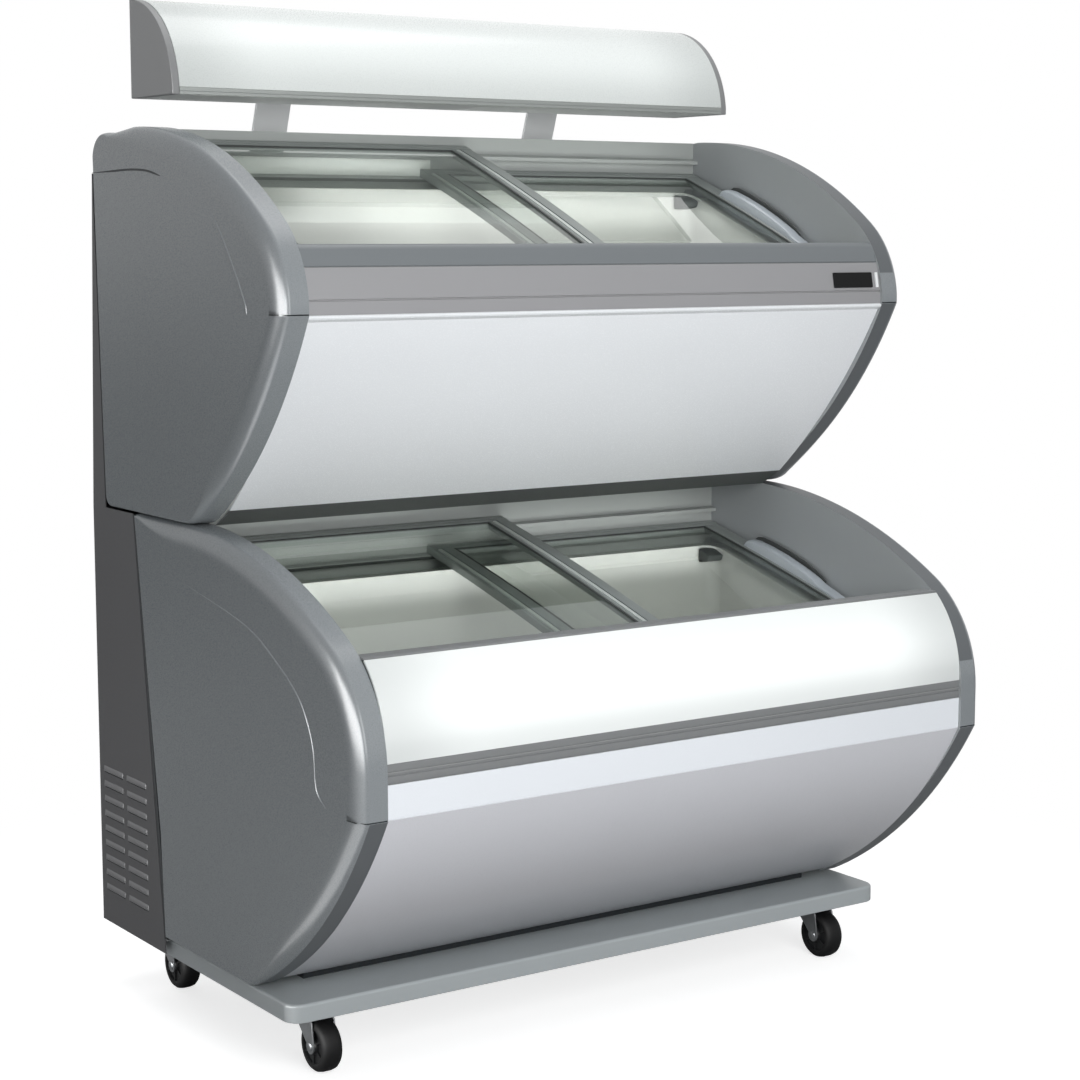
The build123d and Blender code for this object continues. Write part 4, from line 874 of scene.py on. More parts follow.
def smooth_path(points: Sequence[Point], steps: int) -> list[Point]:
    """A smooth line through a few points.

    Args:
        points: The points it passes.
        steps: How many steps lie between two points.

    Returns:
        The line's points.
    """
    spots = [Vector(p) for p in (points[0], *points, points[-1])]
    made: list[Point] = []
    for a, b, c, d in zip(spots, spots[1:], spots[2:], spots[3:]):
        for step in range(steps):
            t = step / steps
            spot = 0.5 * (
                2 * b + (c - a) * t + (2 * a - 5 * b + 4 * c - d) * t**2 + (3 * b - a - 3 * c + d) * t**3
            )
            made.append(tuple(spot))
    return made + [tuple(spots[-1])]


def smooth_bends(points: Sequence[Point], radius: float) -> list[Point]:
    """Rounds the inner corners of a line.

    Args:
        points: The line's corners.
        radius: How far from each corner the rounding starts.

    Returns:
        The rounded line.
    """
    made = [points[0]]
    for before, corner, after in zip(points, points[1:], points[2:]):
        spot = Vector(corner)
        enter = spot + (Vector(before) - spot).normalized() * radius
        leave = spot + (Vector(after) - spot).normalized() * radius
        for step in range(5):
            t = step / 4
            made.append(tuple(enter * (1 - t) ** 2 + spot * 2 * t * (1 - t) + leave * t**2))
    return made + [points[-1]]


def rounded_rectangle(half: float, depth: Span, radius: float, steps: int) -> list[Point]:
    """The outline of a rounded rectangle, seen from above.

    Args:
        half: Half its width.
        depth: Its front and back limits.
        radius: The rounding of its corners.
        steps: How many steps make one corner.

    Returns:
        Pairs of X and depth, from the right round by the back.
    """
    x, low, high = half - radius, depth[0] + radius, depth[1] - radius
    made = []
    for centre_x, centre_depth, first in ((x, high, 0), (-x, high, 90), (-x, low, 180), (x, low, 270)):
        for step in range(steps + 1):
            turn = math.radians(first + 90 * step / steps)
            made.append((centre_x + radius * math.cos(turn), centre_depth + radius * math.sin(turn)))
    return made


def both_sides(inner: float, outer: float, middle: float = 0.0) -> list[Span]:
    """The X limits of a pair of pieces, left one first, that stand between two distances from a middle."""
    return [(middle - outer, middle - inner), (middle + inner, middle + outer)]


def mirrored(profile: Sequence[Point], closed: bool = False) -> list[Point]:
    """A turned profile with its mirror image after it, closed at its start where asked."""
    return [*profile, *((radius, -along) for radius, along in reversed(profile)), *profile[: int(closed)]]


@dataclass
class EndPanel:
    """A moulded end panel: flat edge band, broad elliptical shoulder and a raised contour line.

    The shoulder fades out between the two values of fade_foot and of fade_back. The ranges in shaded are the
    outline's points whose flat band gets painted shade: below the kink, and on the right panels' brow and
    crest.
    """

    node: str
    side: Side
    runs: list[list[Point]]
    crease: float
    contour: list[Point]
    fade_foot: Span
    fade_back: Span
    flat: float = 29.0
    round_x: float = 15.6
    round_depth: float = 36.0
    bead_width: float = 9.0
    bead_height: float = 1.3
    groove_depth: float = 0.8
    groove_reach: float = 300.0
    least_softness: float = 0.12
    seam: Sequence[Point] = ()
    shaded: Sequence[tuple[int, int]] = ()

    @property
    def plateau(self) -> float:
        """The outer face's height above the inner one."""
        return self.flat + self.round_x

    def outline(self) -> list[Point]:
        """The runs joined into one ring, without doubled points."""
        ring: list[Point] = []
        for run in self.runs:
            for point in run:
                if not ring or math.dist(ring[-1], point) > 0.01:
                    ring.append(point)
        if math.dist(ring[0], ring[-1]) < 0.01:
            ring.pop()
        return ring

    def softness(self, point: Point) -> float:
        """How much of the full shoulder a point of the outline has.

        Args:
            point: The point's depth and height.

        Returns:
            A share from the least softness to one.
        """
        foot = (point[1] - self.fade_foot[0]) / (self.fade_foot[1] - self.fade_foot[0])
        back = (self.fade_back[1] - point[0]) / (self.fade_back[1] - self.fade_back[0])
        share = max(0.0, min(1.0, foot)) * max(0.0, min(1.0, back))
        least = self.least_softness
        return least + (1 - least) * share * share * (3 - 2 * share)

    def cut(self, point: Point) -> float:
        """How deep the groove above the kink is cut at a point of the outline."""
        grooved = 0.5 < point[1] - self.crease < 2.5 and point[0] < self.groove_reach
        return self.groove_depth if grooved else 0.0

    def x(self, rise: float) -> float:
        """The place across of a height above the panel's inner face."""
        return self.side.value * (HALF + rise)

    def shoulder(self) -> list[Point]:
        """The shoulder's section, a quarter of an ellipse with more steps where it turns fast.

        Returns:
            Pairs of height above the inner face and inset from the outline.
        """
        turns = [math.pi / 2 * (step / 12) ** 1.4 for step in range(13)]
        return [(self.flat + self.round_x * math.sin(t), self.round_depth * (1 - math.cos(t))) for t in turns]

    def build(self) -> None:
        """Makes the panel with its contour line and settles it."""
        former = Former(self.node + "_moulding", END_MOULDING, INNER_GREY, SHADOW_GAP, END_PAINTED_SHADE)
        ring = self.outline()
        normals = inward_normals(ring)
        weights = [self.softness(point) for point in ring]
        cuts = [self.cut(point) for point in ring]

        def level(rise: float, inset: float) -> list[Vector]:
            """The ring at a height above the inner face, moved inwards."""
            fade = max(0.0, 1 - inset / 12)
            moved = [
                Vector(p) + n * (inset * w + c * fade)
                for p, n, w, c in zip(ring, normals, weights, cuts)
            ]
            return [at(self.x(rise), *point) for point in moved]

        rings = [level(0.0, 0.0)] + [level(*spot) for spot in self.shoulder()]

        def paint(number: int, point: int) -> int:
            """Painted shade: black in the groove, and darker on the flat band in the shaded ranges."""
            if cuts[point] and cuts[(point + 1) % len(ring)]:
                return 2
            return 3 if number == 0 and any(low <= point < high for low, high in self.shaded) else 0

        former.loft(rings, paint)
        for face in former.mesh.faces:
            if all(abs(abs(v.co.x) - HALF * MM) < 1e-6 for v in face.verts):
                face.material_index = 1
        self.line(former, self.contour, self.bead_width, self.bead_height)
        # The seam is a low line painted black as the shadow in its groove.
        if self.seam:
            self.line(former, self.seam, 4.0, 0.3, paint=2)
        piece = former.object(smooth_to=24.0)
        self.mark_crease(piece)
        settle(piece, replaces=[self.node])

    def mark_crease(self, piece: bpy.types.Object) -> None:
        """Keeps the kink across the front edge crisp.

        Args:
            piece: The finished panel.
        """
        level = self.crease * MM
        data = piece.data
        for edge in data.edges:
            one, two = (data.vertices[i].co for i in edge.vertices)
            if abs(one.z - level) < 0.0004 and abs(two.z - level) < 0.0004:
                edge.use_edge_sharp = True

    def line(
        self, former: Former, points: Sequence[Point], width: float, height: float, paint: int = 0
    ) -> None:
        """Adds a low rounded line on the outer face, thin at both ends.

        Args:
            former: The piece that it is added to.
            points: The points that it passes.
            width: Its width.
            height: How far it stands out.
            paint: The finish's number.
        """
        path = smooth_path(points, 8)
        rings = []
        last = len(path) - 1
        for index, point in enumerate(path):
            ahead = Vector(path[min(index + 1, last)]) - Vector(path[max(index - 1, 0)])
            aside = Vector((ahead.y, -ahead.x)).normalized()
            taper = min(1.0, 0.15 + 3.0 * index / last, 0.3 + 5.0 * (last - index) / last)
            ring = []
            for across, up in ((-0.5, -0.4), (-0.3, 0.6), (0.0, 1.0), (0.3, 0.6), (0.5, -0.4)):
                spot = Vector(point) + aside * across * width * taper
                ring.append(at(self.x(self.plateau + up * height * taper), *spot))
            rings.append(ring)
        former.loft(rings, paint)


@dataclass
class Cheeks:
    """The four end panels and the crown between the upper two."""

    crown_front: float = 722.0
    crown_foot: float = 1338.0
    crown_top: float = 1406.0

    def low(self, side: Side) -> EndPanel:
        """The lower end panel.

        Args:
            side: Its side.

        Returns:
            The panel, still to be built.
        """
        brow = Bow((0.0, 512.0), (100.0, 682.0), 26.0)
        crest = Bow((100.0, 682.0), (560.0, DECK_SPLIT), 32.0)
        rim = Bow((335.0, PANEL_FOOT), (0.0, LOW_KINK), 34.0)
        runs = [
            rim.points(26),
            groove_points(0.0, LOW_KINK),
            [(0.0, 480.0), (0.0, 512.0)],
            brow.points(14),
            crest.points(26),
            [(depth, DECK_SPLIT) for depth in (560.0, 610.0, 660.0, 708.0)],
            [(687.0, 635.0), (666.0, 467.0), (645.0, 299.0), (624.0, PANEL_FOOT)],
            [(depth, PANEL_FOOT) for depth in (580.0, 500.0, 420.0)],
        ]
        contour = [(520.0, 712.0), (334.0, 677.0), (242.0, 639.0), (169.0, 593.0), (133.0, 536.0)]
        contour += [(123.0, 473.0), (95.0, 452.0)]
        shaded = ((0, 26), (36, 76)) if side is Side.RIGHT else ((0, 26),)
        return EndPanel(
            f"low_end_{side.word}", side, runs, LOW_KINK, contour, fade_foot=(PANEL_FOOT, 240.0),
            fade_back=(560.0, 730.0), shaded=shaded,
        )

    def up(self, side: Side) -> EndPanel:
        """The upper end panel.

        Args:
            side: Its side.

        Returns:
            The panel, still to be built.
        """
        toe = Bow((529.0, UP_PANEL_FOOT), (484.0, 821.0), 4.0)
        rim = Bow((484.0, 821.0), (204.0, UP_KINK), 28.0)
        brow = Bow((204.0, 1145.0), (270.0, 1262.0), 14.0)
        crest = Bow((270.0, 1262.0), (700.0, 1407.0), 37.0)
        cap = Bow((776.0, 1399.0), (834.0, 1366.0), 15.0)
        heel = Bow((812.6, 823.0), (794.0, UP_PANEL_FOOT), 5.0)
        runs = [
            toe.points(5),
            rim.points(26),
            groove_points(204.0, UP_KINK),
            [(204.0, 1137.0), (204.0, 1145.0)],
            brow.points(12),
            crest.points(28),
            [(700.0, 1407.0), (740.0, 1402.8), (776.0, 1399.0)],
            cap.points(10),
            [(830.0, 1258.0), (826.0, 1149.0), (820.0, 986.0), (812.6, 823.0)],
            heel.points(5),
            [(depth, UP_PANEL_FOOT) for depth in (740.0, 660.0, 590.0)],
        ]
        contour = [(430.0, 1285.0), (391.0, 1248.0), (345.0, 1190.0), (317.0, 1149.0), (308.0, 1128.0)]
        seam = [(833.0, 1339.0), (760.0, 1340.0), (690.0, 1341.0), (630.0, 1338.0), (582.0, 1329.0)]
        return EndPanel(
            f"up_end_{side.word}", side, runs, UP_KINK, contour, fade_foot=(UP_PANEL_FOOT, 900.0),
            fade_back=(640.0, 800.0), seam=seam, shaded=((0, 31), (41, 90)) if side is Side.RIGHT else (),
        )

    def crown(self) -> None:
        """The extruded cap behind the upper rail, with a groove along its front that is painted darker as
        shade.
        """
        front, back, foot, top = self.crown_front, CROWN_BACK, self.crown_foot, self.crown_top
        profile = [(front, foot)]
        for depth, drop in (
            (0, 44), (3, 41), (3, 24), (0, 21), (0, 2), (2, 0), (20, 0), (22, 3), (60, 8),
        ):
            profile.append((front + depth, top - drop))
        profile += [(back - 22, top - 14), (back - 8, top - 18), (back, top - 30), (back, foot)]
        # The groove's faces take the darker finish as painted shade.
        extruded(
            "crown_cover", [CROWN_GREY, FASCIA_DARK], profile, "end_moulding", "crown", HALF,
            lambda ring, point: int(point in (1, 2, 3)), bevel=0.8,
        )

    def build(self) -> None:
        """Makes all four end panels and the crown."""
        for side in Side:
            self.low(side).build()
            self.up(side).build()
        self.crown()


@dataclass
class Lid:
    """One curved sliding lid: extruded frame, seal, glass and grip."""

    deck: Deck
    side: Side
    bow: Bow
    width: float
    grip_rear: float
    end: float = 32.0
    bar: float = 40.0
    edge: float = 24.0
    gap: float = 3.0
    height: float = 14.0
    round: float = 2.5
    steps: int = 14

    @property
    def name(self) -> str:
        """The lid's body."""
        return f"{self.deck.value}_lid_{self.side.word}"

    @property
    def level(self) -> float:
        """How far the lid's track is above the lower one."""
        return LID_STEP if self.side is Side.LEFT else 0.0

    @property
    def span(self) -> Span:
        """The lid's X limits when shut."""
        reach = HALF - self.gap
        return (-reach, self.width - reach) if self.side is Side.LEFT else (reach - self.width, reach)

    @property
    def window(self) -> tuple[Span, Span]:
        """X and depth limits of the clear glass."""
        ends = (self.end, self.bar) if self.side is Side.LEFT else (self.bar, self.end)
        x = (self.span[0] + ends[0], self.span[1] - ends[1])
        return x, (self.bow.start[0] + self.edge, self.bow.end[0] - self.edge)

    def top(self, depth: float, lift: float = 0.0) -> float:
        """The height of the lid's top face at a depth."""
        return self.bow.height(depth) + self.level + lift

    def along(self, former: Former, section: Sequence[Point], depth: Span, paint: int = 0) -> None:
        """Sweeps a section from front to back along the bow.

        Args:
            former: The piece that it is added to.
            section: Pairs of X and height over the lid's top.
            depth: Where it starts and ends.
            paint: The finish's number.
        """
        rings = []
        for step in range(self.steps + 1):
            spot = depth[0] + (depth[1] - depth[0]) * step / self.steps
            rings.append([at(x, spot, self.top(spot, lift)) for x, lift in section])
        former.loft(rings, paint)

    def across(self, former: Former, section: Sequence[Point], x: Span, paint: int = 0) -> None:
        """Extrudes a section of depth and lift pairs from side to side."""
        former.prism([(depth, self.top(depth, lift)) for depth, lift in section], x, paint)

    def frame(self) -> None:
        """Makes the four profiles, the seal round the glass and the grip."""
        former = Former(self.name + "_surround", LID_FRAME, LID_STRIP, SEAL_AND_PAINTED_SHADE, GRIP_ABS)
        x, depth = self.window
        front, rear = self.bow.start[0], self.bow.end[0]
        for low, high in ((front, depth[0]), (depth[1], rear)):
            middle = (low + high) / 2
            groove = [(middle - 1.5, 0), (middle - 1.5, -1.2), (middle + 1.5, -1.2), (middle + 1.5, 0)]
            self.across(former, self.member(low, high, groove), self.span)
        for low, high, inner in self.members():
            first, second = low + 4.0, low + 17.0
            notch = [(first, 0), (first, -2.6), (second, -2.6), (second, 0)] if inner else []
            self.along(former, self.member(low, high, notch), depth)
            if inner:
                # The pale strip is a painted highlight along the overlap.
                first, second = low + 8.0, low + 15.0
                strip = [(first, -2.6), (first, -0.6), (first + 1, -0.1)]
                strip += [(second - 1, -0.1), (second, -0.6), (second, -2.6)]
                self.along(former, strip, depth, paint=1)
        self.seal(former, x, depth)
        self.grip(former)
        settle(former.object(smooth_to=32.0), self.name, [self.name + "_frame"])

    def members(self) -> list[tuple[float, float, bool]]:
        """X limits of both end members, and whether each is the inner one."""
        x, _ = self.window
        outer_left = self.side is Side.LEFT
        return [(self.span[0], x[0], not outer_left), (x[1], self.span[1], outer_left)]

    def member(self, low: float, high: float, channel: Sequence[Point]) -> list[Point]:
        """A frame member's section between two limits, with rounded upper edges and a channel in its top."""
        foot, drop = -self.height, self.round
        section = [(low, foot), (low, -drop), (low + drop, 0), *channel]
        return section + [(high - drop, 0), (high, -drop), (high, foot)]

    def seal(self, former: Former, x: Span, depth: Span) -> None:
        """Adds the dark seal that laps the glass on all four sides.

        Args:
            former: The piece that it is added to.
            x: The glass's X limits.
            depth: The glass's front and back limits.
        """
        wide, low, high = 4.0, -2.9, -1.2
        inside = (depth[0] + wide, depth[1] - wide)
        for limits, sweep, reach in ((depth, self.across, x), (x, self.along, inside)):
            for start, end in ((limits[0], limits[0] + wide), (limits[1] - wide, limits[1])):
                sweep(former, [(start, low), (start, high), (end, high), (end, low)], reach, paint=2)

    def grip(self, former: Former) -> None:
        """Adds the moulded hand grip on the outer member: a smooth hump with a low tail.

        Args:
            former: The piece that it is added to.
        """
        width = 22.0
        low = self.span[0] + 5.0 if self.side is Side.LEFT else self.span[1] - 5.0 - width
        hump = (
            (0, 1.0), (4, 9.0), (12, 14.0), (28, 17.2), (60, 18.8), (100, 18.6), (140, 16.4), (168, 13.6),
            (184, 11.2), (194, 7.6), (206, 6.0), (226, 4.6), (243, 2.4), (250, 0.6),
        )
        stations = [(self.grip_rear - ahead, rise) for ahead, rise in hump]
        section = (
            (0.0, -0.1), (0.0, 0.55), (0.06, 0.82), (0.2, 0.97), (0.5, 1.0), (0.8, 0.97), (0.94, 0.82),
            (1.0, 0.55), (1.0, -0.1),
        )
        rings = [
            [at(low + width * across, depth, self.top(depth, rise * share)) for across, share in section]
            for depth, rise in stations
        ]
        former.loft(rings, paint=3)
        # A dark fin along the outer side is painted shade from the grip.
        self.grip_shade_fin(former, stations, low - 2.8 if self.side is Side.LEFT else low + width)

    def grip_shade_fin(self, former: Former, stations: Sequence[Point], low: float) -> None:
        """Adds a dark fin along the grip's outer side, painted as the shade that the grip casts on the end
        panel.

        Args:
            former: The piece that it is added to.
            stations: Depths along the grip, each with its rise.
            low: The guard's lower X limit.
        """
        rings = []
        for depth, rise in stations[1:10]:
            top = rise + 5.0 * min(1.0, rise / 16) ** 2
            corners = ((0, -1.0), (0, top - 0.8), (0.9, top), (1.9, top), (2.8, top - 0.8), (2.8, -1.0))
            rings.append([at(low + x, depth, self.top(depth, lift)) for x, lift in corners])
        former.loft(rings, paint=2)

    def glass(self) -> None:
        """Makes the curved sheet with ground edges."""
        former = Former(self.name + "_pane", LID_GLASS)
        x, depth = self.window
        land, top, thick = 7.8, -3.2, 4.0
        start, end = depth[0] - land, depth[1] + land
        steps = 24
        line = [start + (end - start) * step / steps for step in range(steps + 1)]
        profile = [(d, self.top(d, top)) for d in line] + [(d, self.top(d, top - thick)) for d in line[::-1]]
        former.prism(profile, (x[0] - land, x[1] + land))
        settle(former.object(smooth_to=30.0), self.name, [self.name + "_glass"])

    def build(self) -> None:
        """Makes the frame and the glass."""
        self.frame()
        self.glass()


@dataclass
class Tank:
    """A tub's liner with rounded corners and a folded rim, its rail strip, and a dark block in its corner
    that is painted shade.
    """

    deck: Deck
    bow: Bow
    front: float
    toe: float
    floor: float
    back: float
    kink: float
    liner: Finish
    backing: Finish
    half: float = 485.0
    radius: float = 26.0
    least_radius: float = 4.0
    wall: float = 2.0
    sheet: float = 0.8
    rim_drop: float = 15.6
    rail_drop: float = 14.0
    wall_steps: int = 6

    def mouth(self, depth: float) -> float:
        """The height of the liner's rim at a depth."""
        return self.bow.height(depth) - self.rim_drop

    def loop(self, front: float, inset: float, height: Callable[[float], float]) -> list[Vector]:
        """A rounded rectangle whose height may follow the lids.

        Args:
            front: Its front limit before the inset.
            inset: How far inside the tank's opening it lies.
            height: The height at a depth.

        Returns:
            The loop's points.
        """
        depth = (front + inset, self.back - inset)
        radius = max(self.least_radius, self.radius - inset)
        ring = rounded_rectangle(self.half - inset, depth, radius, 6)
        return [at(x, spot, height(spot)) for x, spot in ring]

    def build(self) -> None:
        """Makes the liner, settles it and adds what its rear rail carries."""
        former = Former(self.deck.value + "_tank_liner", self.liner)
        floor, wall = self.floor + 1.2, self.wall
        loops = [
            self.loop(self.toe + ahead, wall + inset, lambda _, level=floor + rise: level)
            for ahead, inset, rise in ((26, 18, 0), (8, 7, 3), (-2, 1, 12))
        ]
        for step in range(1, self.wall_steps + 1):
            share = step / self.wall_steps
            depth = self.toe + (self.front - self.toe) * share
            level = self.floor + (self.kink - self.floor) * share
            loops.append(self.loop(depth, wall, lambda _, level=level: level))
        loops.append(self.loop(self.front, wall, self.mouth))
        loops.append(self.loop(self.front, wall - 1.4, lambda spot: self.mouth(spot) + 0.4))
        former.loft(loops, caps=False)
        former.mesh.faces.new(list(former.mesh.verts)[: len(loops[0])])
        piece = former.object(smooth_to=50.0, thickness=self.sheet, outward=False)
        piece.modifiers["wall"].offset = -1.0
        self.face_inwards(piece)
        settle(piece, replaces=[self.deck.value + "_liner"])
        self.corner_shade_block()
        self.rail_backing()

    def rail_backing(self) -> None:
        """Adds the strip on the rear rail under the left lid, pale as painted light on the upper deck, and a
        dark lip below it that is painted shade.
        """
        former = Former(self.deck.value + "_rail_backing", self.backing, SEAL_AND_PAINTED_SHADE)
        rear, x = self.bow.end[0], (-HALF + 1.5, -24.0)
        foot = self.bow.end[1] - self.rail_drop
        steps = ((0.9, 0.8), (0.5, 1.2), (0.3, 2.4), (0.3, 26.6), (0.5, 27.8), (0.9, 28.2))
        former.prism([(rear + proud, foot + rise) for proud, rise in steps], x)
        tip = rear - 12.0
        lip = ((-0.1, -9.6), (-0.9, -9.0), (-0.9, -5.4), (-0.1, -4.8))
        former.prism([(tip + proud, foot + rise) for proud, rise in lip], x, 1)
        settle(former.object(smooth_to=60.0))

    def corner_shade_block(self) -> None:
        """Adds a dark block in the tank's rear right corner, under the rail, as painted shade."""
        former = Former(self.deck.value + "_corner_shade_block", SEAL_AND_PAINTED_SHADE)
        right, back = self.half - 3.5, self.back - 3.5
        level = self.mouth(back) - 3.0
        corners = ((-30, -12), (-26, -22), (0, -26), (0, 0), (-22, -8))
        former.prism([(back + depth, level + rise) for depth, rise in corners], (right - 34, right))
        settle(former.object(bevel=3.0, segments=3, bevel_from=30.0))

    def face_inwards(self, piece: bpy.types.Object) -> None:
        """Turns the liner's visible faces towards the middle of the tank.

        Args:
            piece: The liner.
        """
        work = bmesh.new()
        work.from_mesh(piece.data)
        bmesh.ops.recalc_face_normals(work, faces=work.faces)
        bmesh.ops.reverse_faces(work, faces=work.faces)
        middle = at(0, (self.toe + self.back) / 2, self.kink)
        towards = sum(
            face.normal.dot(middle - face.calc_center_median()) * face.calc_area()
            for face in work.faces
        )
        if towards < 0:
            bmesh.ops.reverse_faces(work, faces=work.faces)
        work.to_mesh(piece.data)
        work.free()


@dataclass
class Fronts:
    """The curved fronts, the sign, the mouldings and the fascia."""

    proud: float = 5.0
    skin: float = 2.0
    hem: float = 3.0
    band_top: float = 496.0
    trim_top: float = 525.0
    sign_top: float = 661.0
    sign_back: float = 62.0
    sign_sheet: float = 3.0
    fascia_front: float = 209.0
    fascia_top: float = 1228.0
    rail_front: float = 256.0

    @staticmethod
    def skin_profile(bow: Bow, thickness: float, hem: float = 0.0) -> list[Point]:
        """A closed sheet profile along a bow, with a rolled hem at its end.

        Args:
            bow: The sheet's outer face.
            thickness: The sheet's thickness.
            hem: The hem's reach, or nothing for a plain edge.

        Returns:
            The profile's points.
        """
        outer = bow.points(36)
        inner = bow.points(36, thickness)[::-1]
        if hem:
            end = Vector(outer[-1])
            roll = [
                (end.x - hem * back, end.y - hem * down)
                for back, down in ((0.5, 1.8), (1, 1), (0.6, 0.2))
            ]
            outer = outer[:-1] + roll + [outer[-1]]
        return outer + inner

    def panels(self) -> None:
        """The silver lower front and the white upper front."""
        low = Bow((320.0, BODY_FOOT), (self.proud, LOW_KINK), 34.0)
        profile = self.skin_profile(low, self.skin)
        extruded("low_front_skin", [SILVER_PANEL], profile, "silver_panel", "low_front_panel", smooth_to=20.0)
        up = Bow((460.0, 829.0), (self.fascia_front, UP_KINK), 17.0)
        profile = self.skin_profile(up, self.skin, self.hem)
        extruded("up_front_skin", [WHITE_PANEL], profile, "white_panel", "up_front_panel", smooth_to=20.0)

    def deck_lip(self) -> None:
        """The sheet that closes the upper tub's foot under the white front, dark grey as painted shade."""
        line = [(460.6, 828.4), (470.0, 822.6), (505.6, 802.2), (515.0, 801.6), (640.0, 801.6)]
        line += [(640.0, 802.8), (515.4, 802.8), (506.6, 803.2), (470.8, 823.8), (461.6, 829.2)]
        extruded("up_deck_lip", [UNDERSIDE_PAINTED_SHADE], line, "dark_steel", half=HALF - 0.6, smooth_to=20.0)

    def band(self) -> None:
        """The white band over the lower front, with a fine shadow line at its foot."""
        front, foot, top = self.proud, LOW_KINK, self.band_top
        profile = [(front + 3, foot + 0.4), (front + 0.8, foot + 0.8), (front, foot + 3), (front, top - 0.4)]
        extruded("low_band_strip", [LIGHT_BAND], [*profile, (front + 3, top - 0.4)], "light_band", "low_band")

    def trim(self) -> None:
        """The grey moulding: two rounded strips with a paler rib between them."""
        front, foot, top = self.proud, self.band_top, self.trim_top
        middle = (foot + top) / 2
        profile = [(front + 20, foot), (front + 1.4, foot), (front + 0.2, foot + 2.5), (front, foot + 7)]
        for back, rise in (
            (0.4, -3.6), (1.6, -2.6), (1.6, -2.0), (0.1, -1.4), (0.1, 1.4), (1.6, 2.0), (1.6, 2.6), (0.4, 3.6)
        ):
            profile.append((front + back, middle + rise))
        profile += [(front, top - 7), (front + 0.4, top - 2), (front + 1.8, top), (front + 20, top)]
        extruded(
            "low_trim_moulding", [TRIM_GREY, TRIM_RIB], profile, "grey_trim", "low_trim", HALF,
            lambda ring, point: int(point == 8), smooth_to=30.0,
        )

    def sign(self) -> None:
        """The curved opal sheet of the sign, and the finish of its housing and tube."""
        bow = Bow((self.proud, self.trim_top), (self.sign_back, self.sign_top), 16.0)
        profile = self.skin_profile(bow, self.sign_sheet)
        extruded("sign_sheet", [SIGN_ACRYLIC], profile, "sign_acrylic", "sign_diffuser", smooth_to=20.0)
        dress(TRIM_GREY, "sign_housing")
        dress(TUBE_WHITE, "sign_lamp")

    def fascia(self) -> None:
        """The grooved grey fascia, its dark top, and the finish of the plate and the lens beside it."""
        bow = Bow((self.fascia_front, UP_KINK), (234.0, self.fascia_top), 6.0)
        top, rear = self.fascia_top, self.rail_front
        split, groove, foot = top - 32.0, UP_KINK + 21.0, UP_KINK + 0.3
        profile = [(bow.depth(foot) + 0.8, foot)]
        profile += [(bow.depth(z), z) for z in (UP_KINK + 2, groove - 5, groove - 1.6)]
        profile += [(bow.depth(groove) + 2.4, groove - 0.9), (bow.depth(groove) + 2.4, groove + 0.9)]
        profile += [
            (bow.depth(z), z)
            for z in (groove + 1.6, groove + 12, groove + 26, groove + 40, split - 1.2)
        ]
        profile += [(bow.depth(split) + 1.2, split - 0.2), (rear, split - 0.2), (rear, foot)]
        extruded("fascia_moulding", [FASCIA_GREY], profile, "fascia_grey", "fascia", HALF, smooth_to=30.0)
        front = bow.depth(split)
        profile = [(front + 1.2, split), (front + 0.4, split + 1.5)]
        profile += [(bow.depth(z), z) for z in (split + 12, top - 8)]
        profile += [
            (bow.depth(top - 3) + 1.4, top - 3), (bow.depth(top) + 5, top), (rear, top), (rear, split)
        ]
        extruded(
            "fascia_top_moulding", [FASCIA_DARK], profile, "fascia_dark", "fascia_top", HALF, smooth_to=40.0
        )
        dress(BLACK_PLATE, "badge_plate")
        dress(LENS, "pilot_lamp")

    def build(self) -> None:
        """Makes every front piece."""
        self.panels()
        self.deck_lip()
        self.band()
        self.trim()
        self.sign()
        self.fascia()


